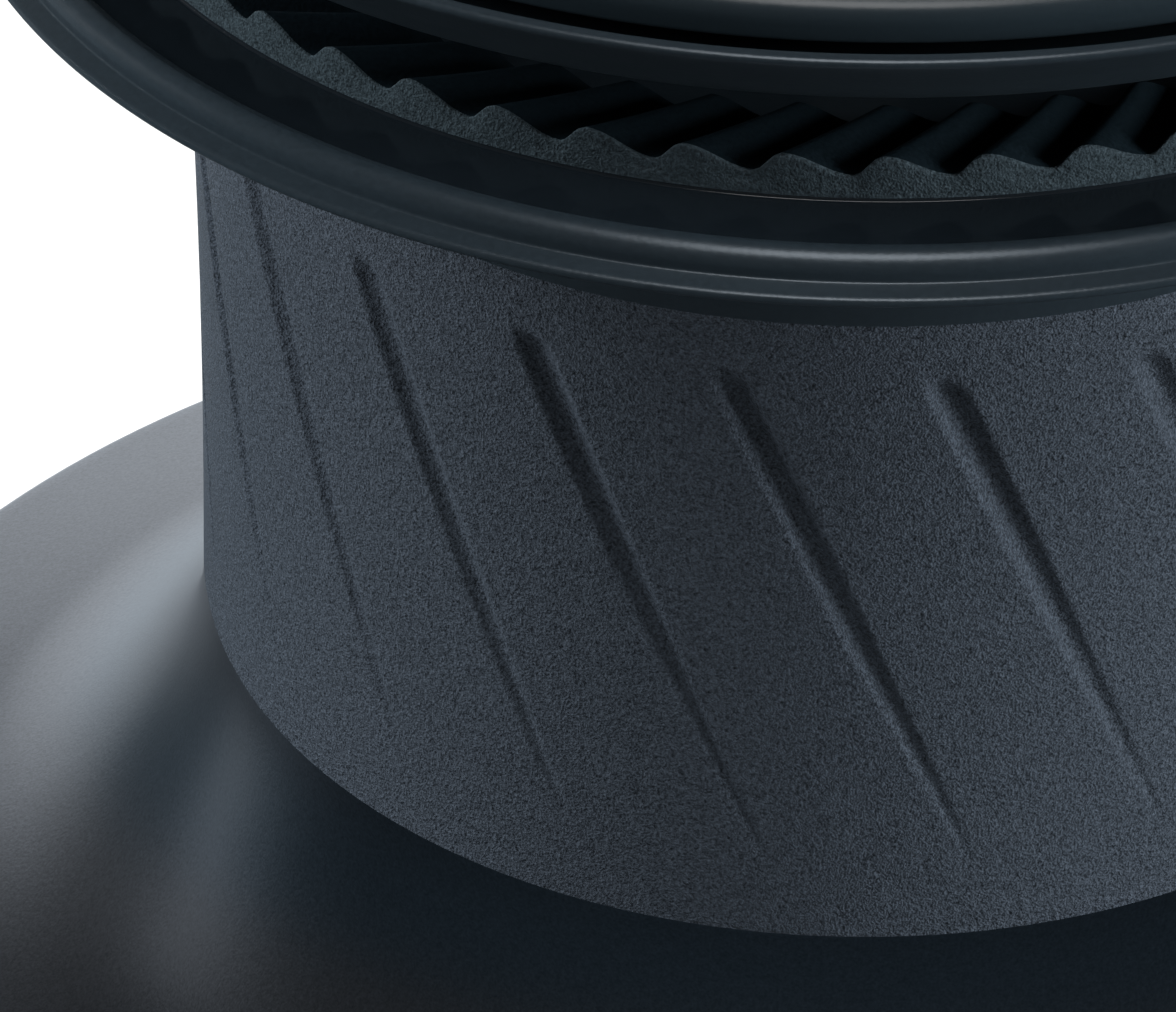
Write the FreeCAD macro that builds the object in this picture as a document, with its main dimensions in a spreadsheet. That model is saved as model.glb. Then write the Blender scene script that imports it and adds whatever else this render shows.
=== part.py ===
import FreeCAD, Part
import math
import os

import Sketcher

# Driving dimensions in millimetres and degrees: alias, value, meaning
SIZES = (
    ("flange_radius", 76.3, "mounting flange, outer radius"),
    ("flange_height", 7.0, "mounting flange, thickness"),
    ("bolt_edge", 9.3, "deck bolt holes, circle inside the flange's edge"),
    ("bolt_hole_radius", 4.25, "deck bolt hole for M8"),
    ("bolt_count", 6, "deck bolt holes"),
    ("bolt_first_angle", 40.0, "azimuth of the first deck bolt hole"),
    ("skirt_wall", 2.2, "foot skirt, wall"),
    ("skirt_lip_bottom", 0.5, "foot skirt, bottom edge above the deck"),
    ("skirt_top_inset", 5.0, "foot skirt, how far the top edge leans inwards"),
    ("skirt_ledge", 1.5, "foot skirt, ledge that rests on the flange"),
    ("skirt_screw_radius", 1.5, "foot skirt screw, thread radius"),
    ("skirt_screw_length", 6.0, "foot skirt screw, length"),
    ("skirt_screw_count", 3, "foot skirt screws"),
    ("rim_gap", 1.2, "running gap between foot skirt and drum"),
    ("pillar_radius", 6.5, "pillar, radius"),
    ("pillar_circle_radius", 38.0, "pillars, circle radius"),
    ("gear_module", 2.0, "module of every gear"),
    ("pressure_angle", 25.0, "pressure angle"),
    ("addendum", 0.8, "tooth addendum in modules"),
    ("dedendum", 1.1, "tooth dedendum in modules"),
    ("flank_slack", 0.12, "half tooth thinning at the pitch circle"),
    ("first_teeth", 26, "first speed gear, teeth"),
    ("idler_a_teeth", 14, "idler beside the first speed gear, teeth"),
    ("idler_b_teeth", 12, "idler beside the drum ring, teeth"),
    ("shaft_teeth", 13, "pinion cut on the main shaft, teeth"),
    ("second_teeth", 25, "second speed gear, teeth"),
    ("pinion_teeth", 17, "second speed pinion, teeth"),
    ("ring_teeth", 55, "drum ring, teeth"),
    ("ring_wall", 3.8, "drum ring, metal behind the teeth"),
    ("idler_b_angle", 60.0, "azimuth of idler B"),
    ("second_angle", 250.0, "azimuth of the second speed pair"),
    ("layer_gap", 1.0, "gap between one gear layer and the next"),
    ("low_layer_height", 10.5, "second speed gear, face width"),
    ("mid_layer_height", 10.0, "first speed gear, face width"),
    ("top_layer_height", 12.0, "drum ring and pinions, face width"),
    ("web_height", 1.8, "web of a ratchet gear"),
    ("spindle_radius", 4.0, "gear spindle, radius"),
    ("spindle_sink", 5.0, "gear spindle, depth in the flange"),
    ("idler_hub_radius", 7.0, "idler hub, radius"),
    ("washer_radius", 10.0, "spindle washer, outer radius"),
    ("running_gap", 0.05, "radial clearance of a running fit"),
    ("seat_gap", 0.02, "radial clearance of a fixed seat"),
    ("float_gap", 0.1, "end play of a running part"),
    ("clear_gap", 0.3, "clearance between parts that only pass"),
    ("shaft_radius", 10.0, "main shaft, radius"),
    ("shaft_foot_radius", 8.0, "main shaft, bottom journal"),
    ("shaft_collar_radius", 9.5, "main shaft, collar under the pawls"),
    ("foot_bush_wall", 3.0, "bottom bush, wall"),
    ("foot_bush_sink", 5.5, "bottom bush, depth in the flange"),
    ("foot_bush_flange", 3.2, "bottom bush, flange width"),
    ("shaft_bush_wall", 3.0, "stem bushes, wall"),
    ("shaft_bush_height", 12.0, "stem bushes, height"),
    ("first_carrier_radius", 15.1, "first speed pawl carrier, radius"),
    ("first_pawl_circle", 11.6, "first speed pawls, pivot circle"),
    ("first_pawl_pivot", 2.5, "first speed pawls, pivot radius"),
    ("first_pawl_reach", 8.0, "first speed pawls, pivot to tip"),
    ("first_ratchet_tip", 15.6, "first speed ratchet, inner radius"),
    ("first_ratchet_root", 17.7, "first speed ratchet, outer radius"),
    ("second_carrier_radius", 12.2, "second speed pawl carrier, radius"),
    ("second_pawl_circle", 9.2, "second speed pawls, pivot circle"),
    ("second_pawl_pivot", 2.1, "second speed pawls, pivot radius"),
    ("second_pawl_reach", 6.4, "second speed pawls, pivot to tip"),
    ("second_ratchet_tip", 12.8, "second speed ratchet, inner radius"),
    ("second_ratchet_root", 14.6, "second speed ratchet, outer radius"),
    ("second_hub_radius", 7.8, "second speed carrier, hub radius"),
    ("ratchet_count", 12, "ratchet teeth"),
    ("pawl_spring_wire", 0.35, "pawl spring, wire radius"),
    ("pawl_spring_ring", 1.4, "pawl spring, ring radius"),
    ("deck_height", 4.0, "gear deck, thickness"),
    ("deck_radius", 49.0, "gear deck, radius"),
    ("drum_ledge_drop", 4.0, "drum's bearing ledge, below the barrel's foot"),
    ("upper_bush_drop", 2.0, "upper shaft bush, top below the barrel's top"),
    ("stem_waist_radius", 30.5, "stem above the deck"),
    ("stem_foot_radius", 35.0, "stem seat under the drum washer"),
    ("stem_radius", 27.0, "stem journal for the rollers"),
    ("stem_hollow_radius", 20.0, "stem, inside between the bushes"),
    ("stem_screw_radius", 3.0, "stem screw, thread radius"),
    ("stem_screw_length", 22.0, "stem screw, length under the head"),
    ("stem_screw_head", 5.0, "stem screw, head radius and height"),
    ("drum_washer_height", 1.8, "drum thrust washer, thickness"),
    ("roller_radius", 2.97, "bearing roller, radius"),
    ("roller_path", 6.0, "space between stem and drum bore"),
    ("roller_length", 10.0, "bearing roller, length"),
    ("roller_count", 16, "rollers in one bearing"),
    ("cage_height", 14.0, "roller cage, height"),
    ("cage_wall", 3.6, "roller cage, wall"),
    ("spacer_wall", 2.7, "bearing spacer, wall"),
    ("barrel_foot", 76.0, "lower edge of the textured barrel"),
    ("barrel_radius", 40.4, "barrel, radius at its ends"),
    ("barrel_hollow", 0.3, "barrel, depth of its shallow hollow"),
    ("barrel_height", 43.0, "barrel, height up to the jaw"),
    ("flare_radius", 25.0, "flare, radius of its curve"),
    ("flare_drop", 28.0, "flare, fall from the barrel to the rim"),
    ("flare_wall", 3.5, "flare, wall"),
    ("flare_rim_radius", 72.0, "flare, outer radius"),
    ("flare_rim_height", 3.5, "flare, thickness of the rim"),
    ("ring_seat_wall", 3.5, "wall round the drum ring"),
    ("ring_seat_depth", 8.5, "depth of the wall round the drum ring"),
    ("groove_count", 21, "grooves round the barrel"),
    ("groove_radius", 1.6, "groove, cutter radius"),
    ("groove_sink", 0.75, "groove, depth at its top end"),
    ("groove_top_gap", 4.0, "groove, top end below the jaw"),
    ("groove_foot_gap", 7.0, "groove, run-out above the flare"),
    ("groove_twist", 20.0, "groove, turn from top to bottom"),
    ("groove_first_angle", 260.0, "azimuth of the first groove's top end"),
    ("neck_radius", 34.5, "drum neck that guides the jaws, outer radius"),
    ("neck_bore", 31.0, "drum neck, bore"),
    ("lower_jaw_height", 12.5, "lower jaw, seat to root land"),
    ("crown_radius", 47.0, "lower jaw, radius of the toothed crown"),
    ("crown_height", 2.7, "lower jaw, crown above the annulus"),
    ("rib_root_radius", 40.5, "inner end of the jaw ribs"),
    ("rib_count", 54, "ribs round a jaw"),
    ("rib_first_angle", 1.6, "azimuth of the first notch between ribs"),
    ("rib_depth", 1.2, "lower jaw ribs, depth"),
    ("rib_slant", 40.0, "ribs, slant from radial"),
    ("jaw_lip_radius", 54.3, "lower jaw, lip radius"),
    ("jaw_edge_radius", 53.0, "lower jaw, upper edge radius"),
    ("under_arc", 10.9, "lower jaw, radius of its underside"),
    ("jaw_opening", 10.7, "gap between the jaw rims"),
    ("upper_rim_radius", 54.9, "upper jaw, rim radius"),
    ("upper_nose_radius", 52.9, "upper jaw, lower rim edge radius"),
    ("upper_rim_height", 2.3, "upper jaw, rim height"),
    ("jaw_float", 1.5, "upper jaw, travel against its springs"),
    ("upper_rib_depth", 0.8, "upper jaw ribs, depth"),
    ("spring_radius", 2.2, "jaw spring, coil radius"),
    ("spring_wire", 0.4, "jaw spring, wire radius"),
    ("spring_turns", 2.5, "jaw spring, turns"),
    ("spring_circle", 41.6, "jaw springs, circle radius"),
    ("spring_count", 6, "jaw springs"),
    ("retainer_radius", 46.0, "jaw retaining ring, radius"),
    ("retainer_height", 1.8, "jaw retaining ring, thickness"),
    ("key_width", 5.0, "jaw key, width"),
    ("key_depth", 3.0, "jaw key, depth"),
    ("key_count", 3, "jaw keys"),
    ("small_screw_radius", 1.5, "M3 screw, thread radius"),
    ("small_screw_length", 8.0, "M3 screw, length"),
    ("jaw_screw_radius", 2.0, "M4 screw, thread radius"),
    ("jaw_screw_length", 14.0, "M4 screw, length"),
    ("jaw_screw_count", 6, "lower jaw and retaining ring screws"),
    ("jaw_screw_circle", 37.7, "lower jaw screws, circle radius"),
    ("disc_radius", 51.8, "top disc, radius"),
    ("disc_edge", 1.2, "top disc, edge thickness"),
    ("disc_rise", 7.1, "top disc, edge to hub top"),
    ("disc_wall", 2.4, "top disc, wall"),
    ("disc_hub_radius", 30.0, "top disc, hub radius"),
    ("disc_hub_bore", 17.5, "top disc and stem head, bore"),
    ("arm_angle", 20.0, "azimuth of the stripper arm"),
    ("arm_sweep", 26.0, "stripper arm, width as an angle"),
    ("arm_thickness", 5.8, "stripper arm, thickness over the jaws"),
    ("post_inner", 58.0, "arm post, inner radius"),
    ("post_outer", 65.5, "arm post, outer radius"),
    ("post_drop", 30.0, "arm post, length below the arm"),
    ("guide_thickness", 3.0, "line guide, thickness"),
    ("guide_sweep", 22.0, "line guide, width as an angle"),
    ("peeler_sweep", 12.0, "line peeler, width as an angle"),
    ("cap_radius", 31.0, "top cap, radius"),
    ("cap_height", 6.0, "top cap, height"),
    ("cap_wall", 2.0, "top cap, wall"),
    ("socket_radius", 15.5, "handle socket, outer radius"),
    ("socket_flats", 17.5, "handle socket, width across flats"),
    ("socket_depth", 31.0, "handle socket, depth"),
    ("socket_rise", 6.5, "handle socket, height above the cap"),
    ("tenon_width", 13.0, "main shaft tenon, width across flats"),
    ("tenon_height", 10.0, "main shaft tenon, height"),
    ("socket_screw_radius", 3.0, "handle socket screw, thread radius"),
    ("socket_screw_length", 16.0, "handle socket screw, length"),
)

doc = FreeCAD.newDocument("self_tailing_winch")
sheet = doc.addObject("Spreadsheet::Sheet", "sizes")


class Length:
    """A number from the sheet together with the formula that ties it to its cells."""

    def __init__(self, value, text):
        self.value = value
        self.text = text

    def __add__(self, other):
        other = length(other)
        return Length(self.value + other.value, f"({self.text} + {other.text})")

    def __radd__(self, other):
        return length(other) + self

    def __sub__(self, other):
        other = length(other)
        return Length(self.value - other.value, f"({self.text} - {other.text})")

    def __rsub__(self, other):
        return length(other) - self

    def __mul__(self, other):
        other = length(other)
        return Length(self.value * other.value, f"({self.text} * {other.text})")

    def __rmul__(self, other):
        return length(other) * self

    def __truediv__(self, other):
        other = length(other)
        return Length(self.value / other.value, f"({self.text} / {other.text})")


def length(number):
    """A plain number as a Length."""
    return number if isinstance(number, Length) else Length(number, repr(number))


def cosine(angle):
    angle = length(angle)
    return Length(math.cos(math.radians(angle.value)), f"cos({angle.text})")


def sine(angle):
    angle = length(angle)
    return Length(math.sin(math.radians(angle.value)), f"sin({angle.text})")


class Sizes:
    """Every cell of the sheet under its alias."""


size = Sizes()
for row, (alias, value, meaning) in enumerate(SIZES, start=1):
    sheet.set(f"A{row}", meaning)
    sheet.set(f"B{row}", str(value))
    sheet.setAlias(f"B{row}", alias)
doc.recompute()
for alias, value, meaning in SIZES:
    setattr(size, alias, Length(float(sheet.get(alias)), f"sizes.{alias}"))


def root(number):
    number = length(number)
    return Length(math.sqrt(number.value), f"sqrt({number.text})")


def polar(radius, angle):
    """A point on a circle round the winch axis, as a pair of Lengths."""
    return radius * cosine(angle), radius * sine(angle)


def spread(count, first_angle=0.0):
    """Evenly spaced azimuths round the winch."""
    number = round(length(count).value)
    first = length(first_angle)
    return [first + 360.0 / number * index for index in range(number)]


def tie(item, **sizes):
    """Bind properties of a document object to their formulas."""
    for name, formula in sizes.items():
        item.setExpression(name, length(formula).text)
    return item


def place(item, x, y, z):
    item.setExpression("Placement.Base.x", length(x).text)
    item.setExpression("Placement.Base.y", length(y).text)
    item.setExpression("Placement.Base.z", length(z).text)
    return item


def rod(name, radius, bottom, top, x=0.0, y=0.0):
    item = doc.addObject("Part::Cylinder", name)
    tie(item, Radius=radius, Height=length(top) - bottom)
    return place(item, x, y, bottom)


def radial_rod(name, radius, inner, outer, azimuth, height):
    """A rod that points away from the winch axis."""
    item = doc.addObject("Part::Cylinder", name)
    tie(item, Radius=radius, Height=outer - inner)
    along = direction(length(azimuth).value)
    start = along * inner.value + FreeCAD.Vector(0, 0, height.value)
    item.Placement = FreeCAD.Placement(start, FreeCAD.Rotation(FreeCAD.Vector(0, 0, 1), along))
    return item


def prism(name, sides, flats, bottom, top, x=0.0, y=0.0, turn=0.0):
    """An even-sided bar given by its width across flats."""
    item = doc.addObject("Part::Prism", name)
    item.Polygon = sides
    corner = math.cos(math.pi / sides)
    tie(item, Circumradius=flats / (2 * corner), Height=length(top) - bottom)
    item.Placement.Rotation = FreeCAD.Rotation(FreeCAD.Vector(0, 0, 1), turn)
    return place(item, x, y, bottom)


def block(name, long, wide, bottom, top, inner, azimuth):
    """A bar that lies along a radius, centred on it."""
    item = doc.addObject("Part::Box", name)
    tie(item, Length=long, Width=wide, Height=length(top) - bottom)
    turn = FreeCAD.Rotation(FreeCAD.Vector(0, 0, 1), azimuth.value)
    corner = FreeCAD.Vector(inner.value, -wide.value / 2, bottom.value)
    item.Placement = FreeCAD.Placement(turn.multVec(corner), turn)
    return item


def fused(name, items):
    item = doc.addObject("Part::MultiFuse", name)
    item.Shapes = items
    item.Refine = True
    return item


def grouped(name, items):
    item = doc.addObject("Part::Compound", name)
    item.Links = items
    return item


def carved(name, base, tools):
    """The base less its tools, which do not touch each other."""
    item = doc.addObject("Part::Cut", name)
    item.Base = base
    item.Tool = tools[0] if len(tools) == 1 else grouped(name + "_tools", tools)
    return item


def shaped(name, shape):
    item = doc.addObject("Part::Feature", name)
    item.Shape = shape
    return item


NODES = []


def publish(name, item):
    item.Label = name
    NODES.append(item)
    return item


def arc_between(start, end, radius, side):
    """The short arc from start to end; its centre is left of the way there if side is 1."""
    middle = (start + end) * 0.5
    way = end - start
    half = way.Length / 2
    normal = FreeCAD.Vector(-way.y, way.x, 0).normalize()
    centre = middle + normal * (side * math.sqrt(max(radius * radius - half * half, 0.0)))
    circle = Part.Circle(centre, FreeCAD.Vector(0, 0, 1), radius)
    first, last = (start, end) if side > 0 else (end, start)
    return Part.ArcOfCircle(circle, circle.parameter(first), circle.parameter(last))


def outline(body, corners):
    """A closed sketch on the body's XZ plane; a corner is (radius, height) or, at the end
    of an arc, (radius, height, arc radius, side of its centre)."""
    sketch = body.newObject("Sketcher::SketchObject", body.Name + "_outline")
    planes = [plane for plane in body.Origin.OriginFeatures if plane.Role == "XZ_Plane"]
    sketch.AttachmentSupport = [(planes[0], "")]
    sketch.MapMode = "FlatFace"
    corners = [tuple(length(number) for number in corner) for corner in corners]
    points = [FreeCAD.Vector(corner[0].value, corner[1].value, 0) for corner in corners]
    last_ends = []
    for index, corner in enumerate(corners):
        start, end = points[index - 1], points[index]
        if len(corner) == 4:
            side = corner[3].value
            sketch.addGeometry(arc_between(start, end, corner[2].value, side), False)
            last_ends.append(2 if side > 0 else 1)
        else:
            sketch.addGeometry(Part.LineSegment(start, end), False)
            last_ends.append(2)
    for index, corner in enumerate(corners):
        end = last_ends[index]
        following = (index + 1) % len(corners)
        begin = 3 - last_ends[following]
        sketch.addConstraint(Sketcher.Constraint("Coincident", index, end, following, begin))
        for kind, number in (("DistanceX", corner[0]), ("DistanceY", corner[1])):
            rule = Sketcher.Constraint(kind, -1, 1, index, end, number.value)
            sketch.setExpression(f"Constraints[{sketch.addConstraint(rule)}]", number.text)
        if len(corner) == 4:
            rule = Sketcher.Constraint("Radius", index, corner[2].value)
            sketch.setExpression(f"Constraints[{sketch.addConstraint(rule)}]", corner[2].text)
    return sketch


def turned(name, corners, sweep=None, azimuth=None):
    """A body turned round the winch axis, whole or as a sector centred on an azimuth."""
    body = doc.addObject("PartDesign::Body", name)
    sketch = outline(body, corners)
    turn = body.newObject("PartDesign::Revolution", name + "_turn")
    turn.Profile = sketch
    turn.ReferenceAxis = (sketch, ["V_Axis"])
    turn.Angle = 360
    if sweep is not None:
        turn.Midplane = True
        tie(turn, Angle=sweep)
        body.Placement.Rotation = FreeCAD.Rotation(FreeCAD.Vector(0, 0, 1), azimuth.value)
    return body


def tube(name, inner, outer, bottom, top):
    return turned(name, ((inner, bottom), (outer, bottom), (outer, top), (inner, top)))


def hex_screw(name, radius, head_radius, head_height, long, x, y, seat):
    """A cap screw whose head stands on the seat, with a hexagon recess."""
    shank = rod(name + "_shank", radius, seat - long, seat, x, y)
    head = rod(name + "_head", head_radius, seat, seat + head_height, x, y)
    half_head = seat + head_height / 2
    recess = prism(name + "_recess", 6, radius * 1.6, half_head, seat + head_height, x, y)
    return carved(name, fused(name + "_blank", [shank, head]), [recess])


def direction(azimuth):
    """A level unit vector."""
    angle = math.radians(azimuth)
    return FreeCAD.Vector(math.cos(angle), math.sin(angle), 0)


def slab(points, bottom, top):
    """A flat-sided solid from level points, taken anticlockwise whatever their order."""
    level = [FreeCAD.Vector(point.x, point.y, bottom) for point in points]
    if sum(a.x * b.y - b.x * a.y for a, b in zip(level, level[1:] + level[:1])) < 0:
        level.reverse()
    face = Part.Face(Part.makePolygon(level + level[:1]))
    return face.extrude(FreeCAD.Vector(0, 0, top - bottom))


def solid_rod(radius, bottom, top, centre):
    return Part.makeCylinder(radius, top - bottom, FreeCAD.Vector(centre.x, centre.y, bottom))


# Sizes that follow from the sheet
module = size.gear_module
tooth_tip = size.addendum * module
tooth_root = size.dedendum * module
ring_pitch = size.ring_teeth * module / 2
ring_tip = ring_pitch - tooth_tip
ring_root = ring_pitch + tooth_root
ring_outer = ring_root + size.ring_wall
idler_a_distance = (size.first_teeth + size.idler_a_teeth) * module / 2
idler_b_distance = (size.ring_teeth - size.idler_b_teeth) * module / 2
idler_pitch = (size.idler_a_teeth + size.idler_b_teeth) * module / 2
second_distance = (size.ring_teeth - size.pinion_teeth) * module / 2

washer_top = size.flange_height + size.layer_gap - size.float_gap
low_bottom = size.flange_height + size.layer_gap
low_top = low_bottom + size.low_layer_height
mid_bottom = low_top + size.layer_gap
mid_top = mid_bottom + size.mid_layer_height
flare_rim_top = size.barrel_foot - size.flare_drop
ring_top = flare_rim_top - size.flare_rim_height
ring_bottom = ring_top - size.top_layer_height
deck_bottom = ring_top + size.layer_gap / 2
deck_top = deck_bottom + size.deck_height
barrel_top = size.barrel_foot + size.barrel_height
drum_bore = size.stem_radius + size.roller_path
drum_ledge = size.barrel_foot - size.drum_ledge_drop
washer_bottom = drum_ledge - size.drum_washer_height - size.float_gap

jaw_land = barrel_top + size.lower_jaw_height
annulus_top = jaw_land + size.float_gap
crown_top = annulus_top + size.crown_height
jaw_edge_top = annulus_top + size.clear_gap
nose_height = jaw_edge_top + size.jaw_opening
rim_top = nose_height + size.upper_rim_height
disc_bottom = rim_top - size.upper_rim_height / 4 + size.float_gap
jaw_top = nose_height - size.disc_edge
pocket_floor = jaw_top - size.jaw_float
neck_top = jaw_top + size.jaw_float + size.clear_gap * 2
retainer_top = neck_top + size.retainer_height
stem_head = disc_bottom + size.disc_wall + size.clear_gap
hub_top = disc_bottom + size.disc_rise
cap_top = hub_top + size.cap_height
socket_top = cap_top + size.socket_rise
arm_bottom = rim_top + size.jaw_float + 1.0 + size.clear_gap
arm_top = arm_bottom + size.arm_thickness
post_bottom = arm_top - size.post_drop
upper_bush_top = barrel_top - size.upper_bush_drop
upper_bush_bottom = upper_bush_top - size.shaft_bush_height
tenon_bottom = upper_bush_top + size.layer_gap
tenon_top = tenon_bottom + size.tenon_height
star_bottom = socket_top - size.socket_depth

# Azimuths of the gears and of the pillars between them
idler_a_lead = math.degrees(math.acos(
    (idler_a_distance.value ** 2 + idler_b_distance.value ** 2 - idler_pitch.value ** 2)
    / (2 * idler_a_distance.value * idler_b_distance.value)))
idler_a_angle = size.idler_b_angle + idler_a_lead
pillar_angles = [size.idler_b_angle - 50.0, idler_a_angle + 44.0,
                 size.second_angle - 60.0, size.second_angle + 70.0]
idler_a_spot = polar(idler_a_distance, idler_a_angle)
idler_b_spot = polar(idler_b_distance, size.idler_b_angle)
second_spot = polar(second_distance, size.second_angle)
spindle_spots = (("idler_a_spindle", idler_a_spot), ("idler_b_spindle", idler_b_spot),
                 ("second_gear_spindle", second_spot))
pillar_spots = [polar(size.pillar_circle_radius, angle) for angle in pillar_angles]


def at(spot):
    return FreeCAD.Vector(spot[0].value, spot[1].value, 0)


# Base
foot_bush_outer = size.shaft_foot_radius + size.running_gap + size.foot_bush_wall
bolt_circle_radius = size.flange_radius - size.bolt_edge
flange = turned("flange_plate", (
    (0.0, 0.0),
    (size.flange_radius, 0.0),
    (size.flange_radius, size.flange_height),
    (0.0, size.flange_height)))
pillars = [rod(f"pillar_{index}", size.pillar_radius, size.flange_height / 2, deck_bottom, x, y)
           for index, (x, y) in enumerate(pillar_spots)]
bolt_holes = [rod(f"bolt_hole_{index}", size.bolt_hole_radius, -1.0, size.flange_height + 1.0,
                  *polar(bolt_circle_radius, angle))
              for index, angle in enumerate(spread(size.bolt_count, size.bolt_first_angle))]
spindle_holes = [rod(f"spindle_hole_{name}", size.spindle_radius + size.seat_gap,
                     size.flange_height - size.spindle_sink, size.flange_height + 1.0, *spot)
                 for name, spot in spindle_spots]
screw_holes = [rod(f"stem_thread_{index}", size.stem_screw_radius + size.seat_gap,
                   deck_top - size.stem_screw_length - 1.0, deck_bottom + 1.0, x, y)
               for index, (x, y) in enumerate(pillar_spots)]
bush_hole = rod("foot_bush_hole", foot_bush_outer + size.seat_gap,
                size.flange_height - size.foot_bush_sink, size.flange_height + 1.0)
skirt_screw_height = size.flange_height / 2
skirt_screw_angles = spread(size.skirt_screw_count, size.bolt_first_angle - 30.0)
skirt_outer = size.flange_radius + size.skirt_wall
skirt_head_base = skirt_outer - size.skirt_screw_radius
skirt_threads = [radial_rod(f"skirt_thread_{index}", size.skirt_screw_radius + size.seat_gap,
                            skirt_head_base - size.skirt_screw_length - 0.5, skirt_outer + 1.0,
                            angle, skirt_screw_height)
                 for index, angle in enumerate(skirt_screw_angles)]
publish("base_flange", carved(
    "base_flange", fused("base_blank", [flange] + pillars),
    bolt_holes + spindle_holes + screw_holes + [bush_hole] + skirt_threads))

skirt_top = ring_top - size.rim_gap
skirt_lean = skirt_outer - size.skirt_top_inset
skirt_seat = size.flange_radius + size.seat_gap
ledge_top = size.flange_height + size.skirt_ledge
skirt_shell = turned("skirt_shell", (
    (skirt_seat, size.skirt_lip_bottom),
    (skirt_outer, size.skirt_lip_bottom),
    (skirt_outer, ledge_top + size.skirt_wall),
    (skirt_lean, skirt_top, 180.0, 1.0),
    (skirt_lean - size.skirt_wall, skirt_top),
    (skirt_outer - size.skirt_wall, ledge_top + size.skirt_wall, 178.0, -1.0),
    (skirt_outer - size.skirt_wall, ledge_top),
    (skirt_seat - size.skirt_wall, ledge_top),
    (skirt_seat - size.skirt_wall, size.flange_height),
    (skirt_seat, size.flange_height)))
screw_sinks = [radial_rod(f"skirt_sink_{index}", size.skirt_screw_radius * 1.9,
                          skirt_head_base, skirt_outer + 1.0, angle, skirt_screw_height)
               for index, angle in enumerate(skirt_screw_angles)]
skirt_holes = [radial_rod(f"skirt_hole_{index}", size.skirt_screw_radius + size.seat_gap,
                          size.flange_radius - 1.0, skirt_outer, angle, skirt_screw_height)
               for index, angle in enumerate(skirt_screw_angles)]
skirt_bores = [fused(f"skirt_bore_{index}", list(pair))
               for index, pair in enumerate(zip(screw_sinks, skirt_holes))]
publish("foot_skirt", carved("foot_skirt", skirt_shell, skirt_bores))
skirt_screws = []
for index, angle in enumerate(skirt_screw_angles):
    shank = radial_rod(f"skirt_shank_{index}", size.skirt_screw_radius,
                       skirt_head_base - size.skirt_screw_length, skirt_outer - 0.4,
                       angle, skirt_screw_height)
    head = radial_rod(f"skirt_head_{index}", size.skirt_screw_radius * 1.8,
                      skirt_head_base, skirt_outer - 0.1, angle, skirt_screw_height)
    skirt_screws.append(fused(f"skirt_screw_{index}", [shank, head]))
publish("skirt_screws", grouped("skirt_screws", skirt_screws))

# Stem
bush_outer = size.shaft_radius + size.running_gap + size.shaft_bush_wall
bush_seat = bush_outer + size.seat_gap
lower_bush_top = deck_bottom + size.shaft_bush_height
stem_blank = turned("stem_blank", (
    (bush_seat, deck_bottom),
    (size.deck_radius, deck_bottom),
    (size.deck_radius, deck_top - 0.8),
    (size.deck_radius - 0.8, deck_top),
    (size.stem_waist_radius, deck_top),
    (size.stem_waist_radius, washer_bottom - 9.0),
    (size.stem_foot_radius, washer_bottom - 4.0),
    (size.stem_foot_radius, washer_bottom),
    (size.stem_radius, washer_bottom),
    (size.stem_radius, stem_head),
    (size.disc_hub_bore, stem_head),
    (size.disc_hub_bore, upper_bush_top),
    (bush_seat, upper_bush_top),
    (bush_seat, upper_bush_bottom),
    (size.stem_hollow_radius, upper_bush_bottom),
    (size.stem_hollow_radius, lower_bush_top),
    (bush_seat, lower_bush_top)))
deck_holes = [rod(f"deck_hole_{index}", size.stem_screw_radius + size.seat_gap,
                  deck_bottom - 1.0, deck_top + 1.0, x, y)
              for index, (x, y) in enumerate(pillar_spots)]
spindle_seats = [rod(f"spindle_seat_{name}", size.spindle_radius + size.seat_gap,
                     deck_bottom - 1.0, deck_top + 1.0, *spot) for name, spot in spindle_spots]
arm_screw_circle = (size.stem_radius + size.disc_hub_bore) / 2
arm_screw_spots = [polar(arm_screw_circle, angle)
                   for angle in spread(4, size.arm_angle + 45.0)]
arm_screw_seat = hub_top
arm_threads = [rod(f"arm_thread_{index}", size.jaw_screw_radius + size.seat_gap,
                   arm_screw_seat - size.jaw_screw_length - 1.0, stem_head + 1.0, x, y)
               for index, (x, y) in enumerate(arm_screw_spots)]
publish("stem", carved("stem", stem_blank, deck_holes + spindle_seats + arm_threads))
publish("stem_screws", grouped("stem_screws", [
    hex_screw(f"stem_screw_{index}", size.stem_screw_radius, size.stem_screw_head,
              size.stem_screw_head, size.stem_screw_length, x, y, deck_top)
    for index, (x, y) in enumerate(pillar_spots)]))

# Bushes, spindles and washers
foot_bore = size.shaft_foot_radius + size.running_gap
shaft_bore = size.shaft_radius + size.running_gap
publish("foot_bush", turned("foot_bush", (
    (foot_bore, size.flange_height - size.foot_bush_sink),
    (foot_bush_outer, size.flange_height - size.foot_bush_sink),
    (foot_bush_outer, size.flange_height),
    (foot_bush_outer + size.foot_bush_flange, size.flange_height),
    (foot_bush_outer + size.foot_bush_flange, washer_top),
    (foot_bore, washer_top))))
publish("lower_shaft_bush", tube("lower_shaft_bush", shaft_bore, bush_outer,
                                 deck_bottom, lower_bush_top))
publish("upper_shaft_bush", tube("upper_shaft_bush", shaft_bore, bush_outer,
                                 upper_bush_bottom, upper_bush_top))
for name, spot in spindle_spots:
    publish(name, rod(name, size.spindle_radius, size.flange_height - size.spindle_sink,
                      deck_top - 0.5, *spot))
washers = []
for name, spot in spindle_spots:
    disc = rod(f"washer_disc_{name}", size.washer_radius, size.flange_height, washer_top, *spot)
    hole = rod(f"washer_hole_{name}", size.spindle_radius + size.running_gap,
               size.flange_height - 1.0, washer_top + 1.0, *spot)
    washers.append(carved(f"washer_{name}", disc, [hole]))
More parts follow.
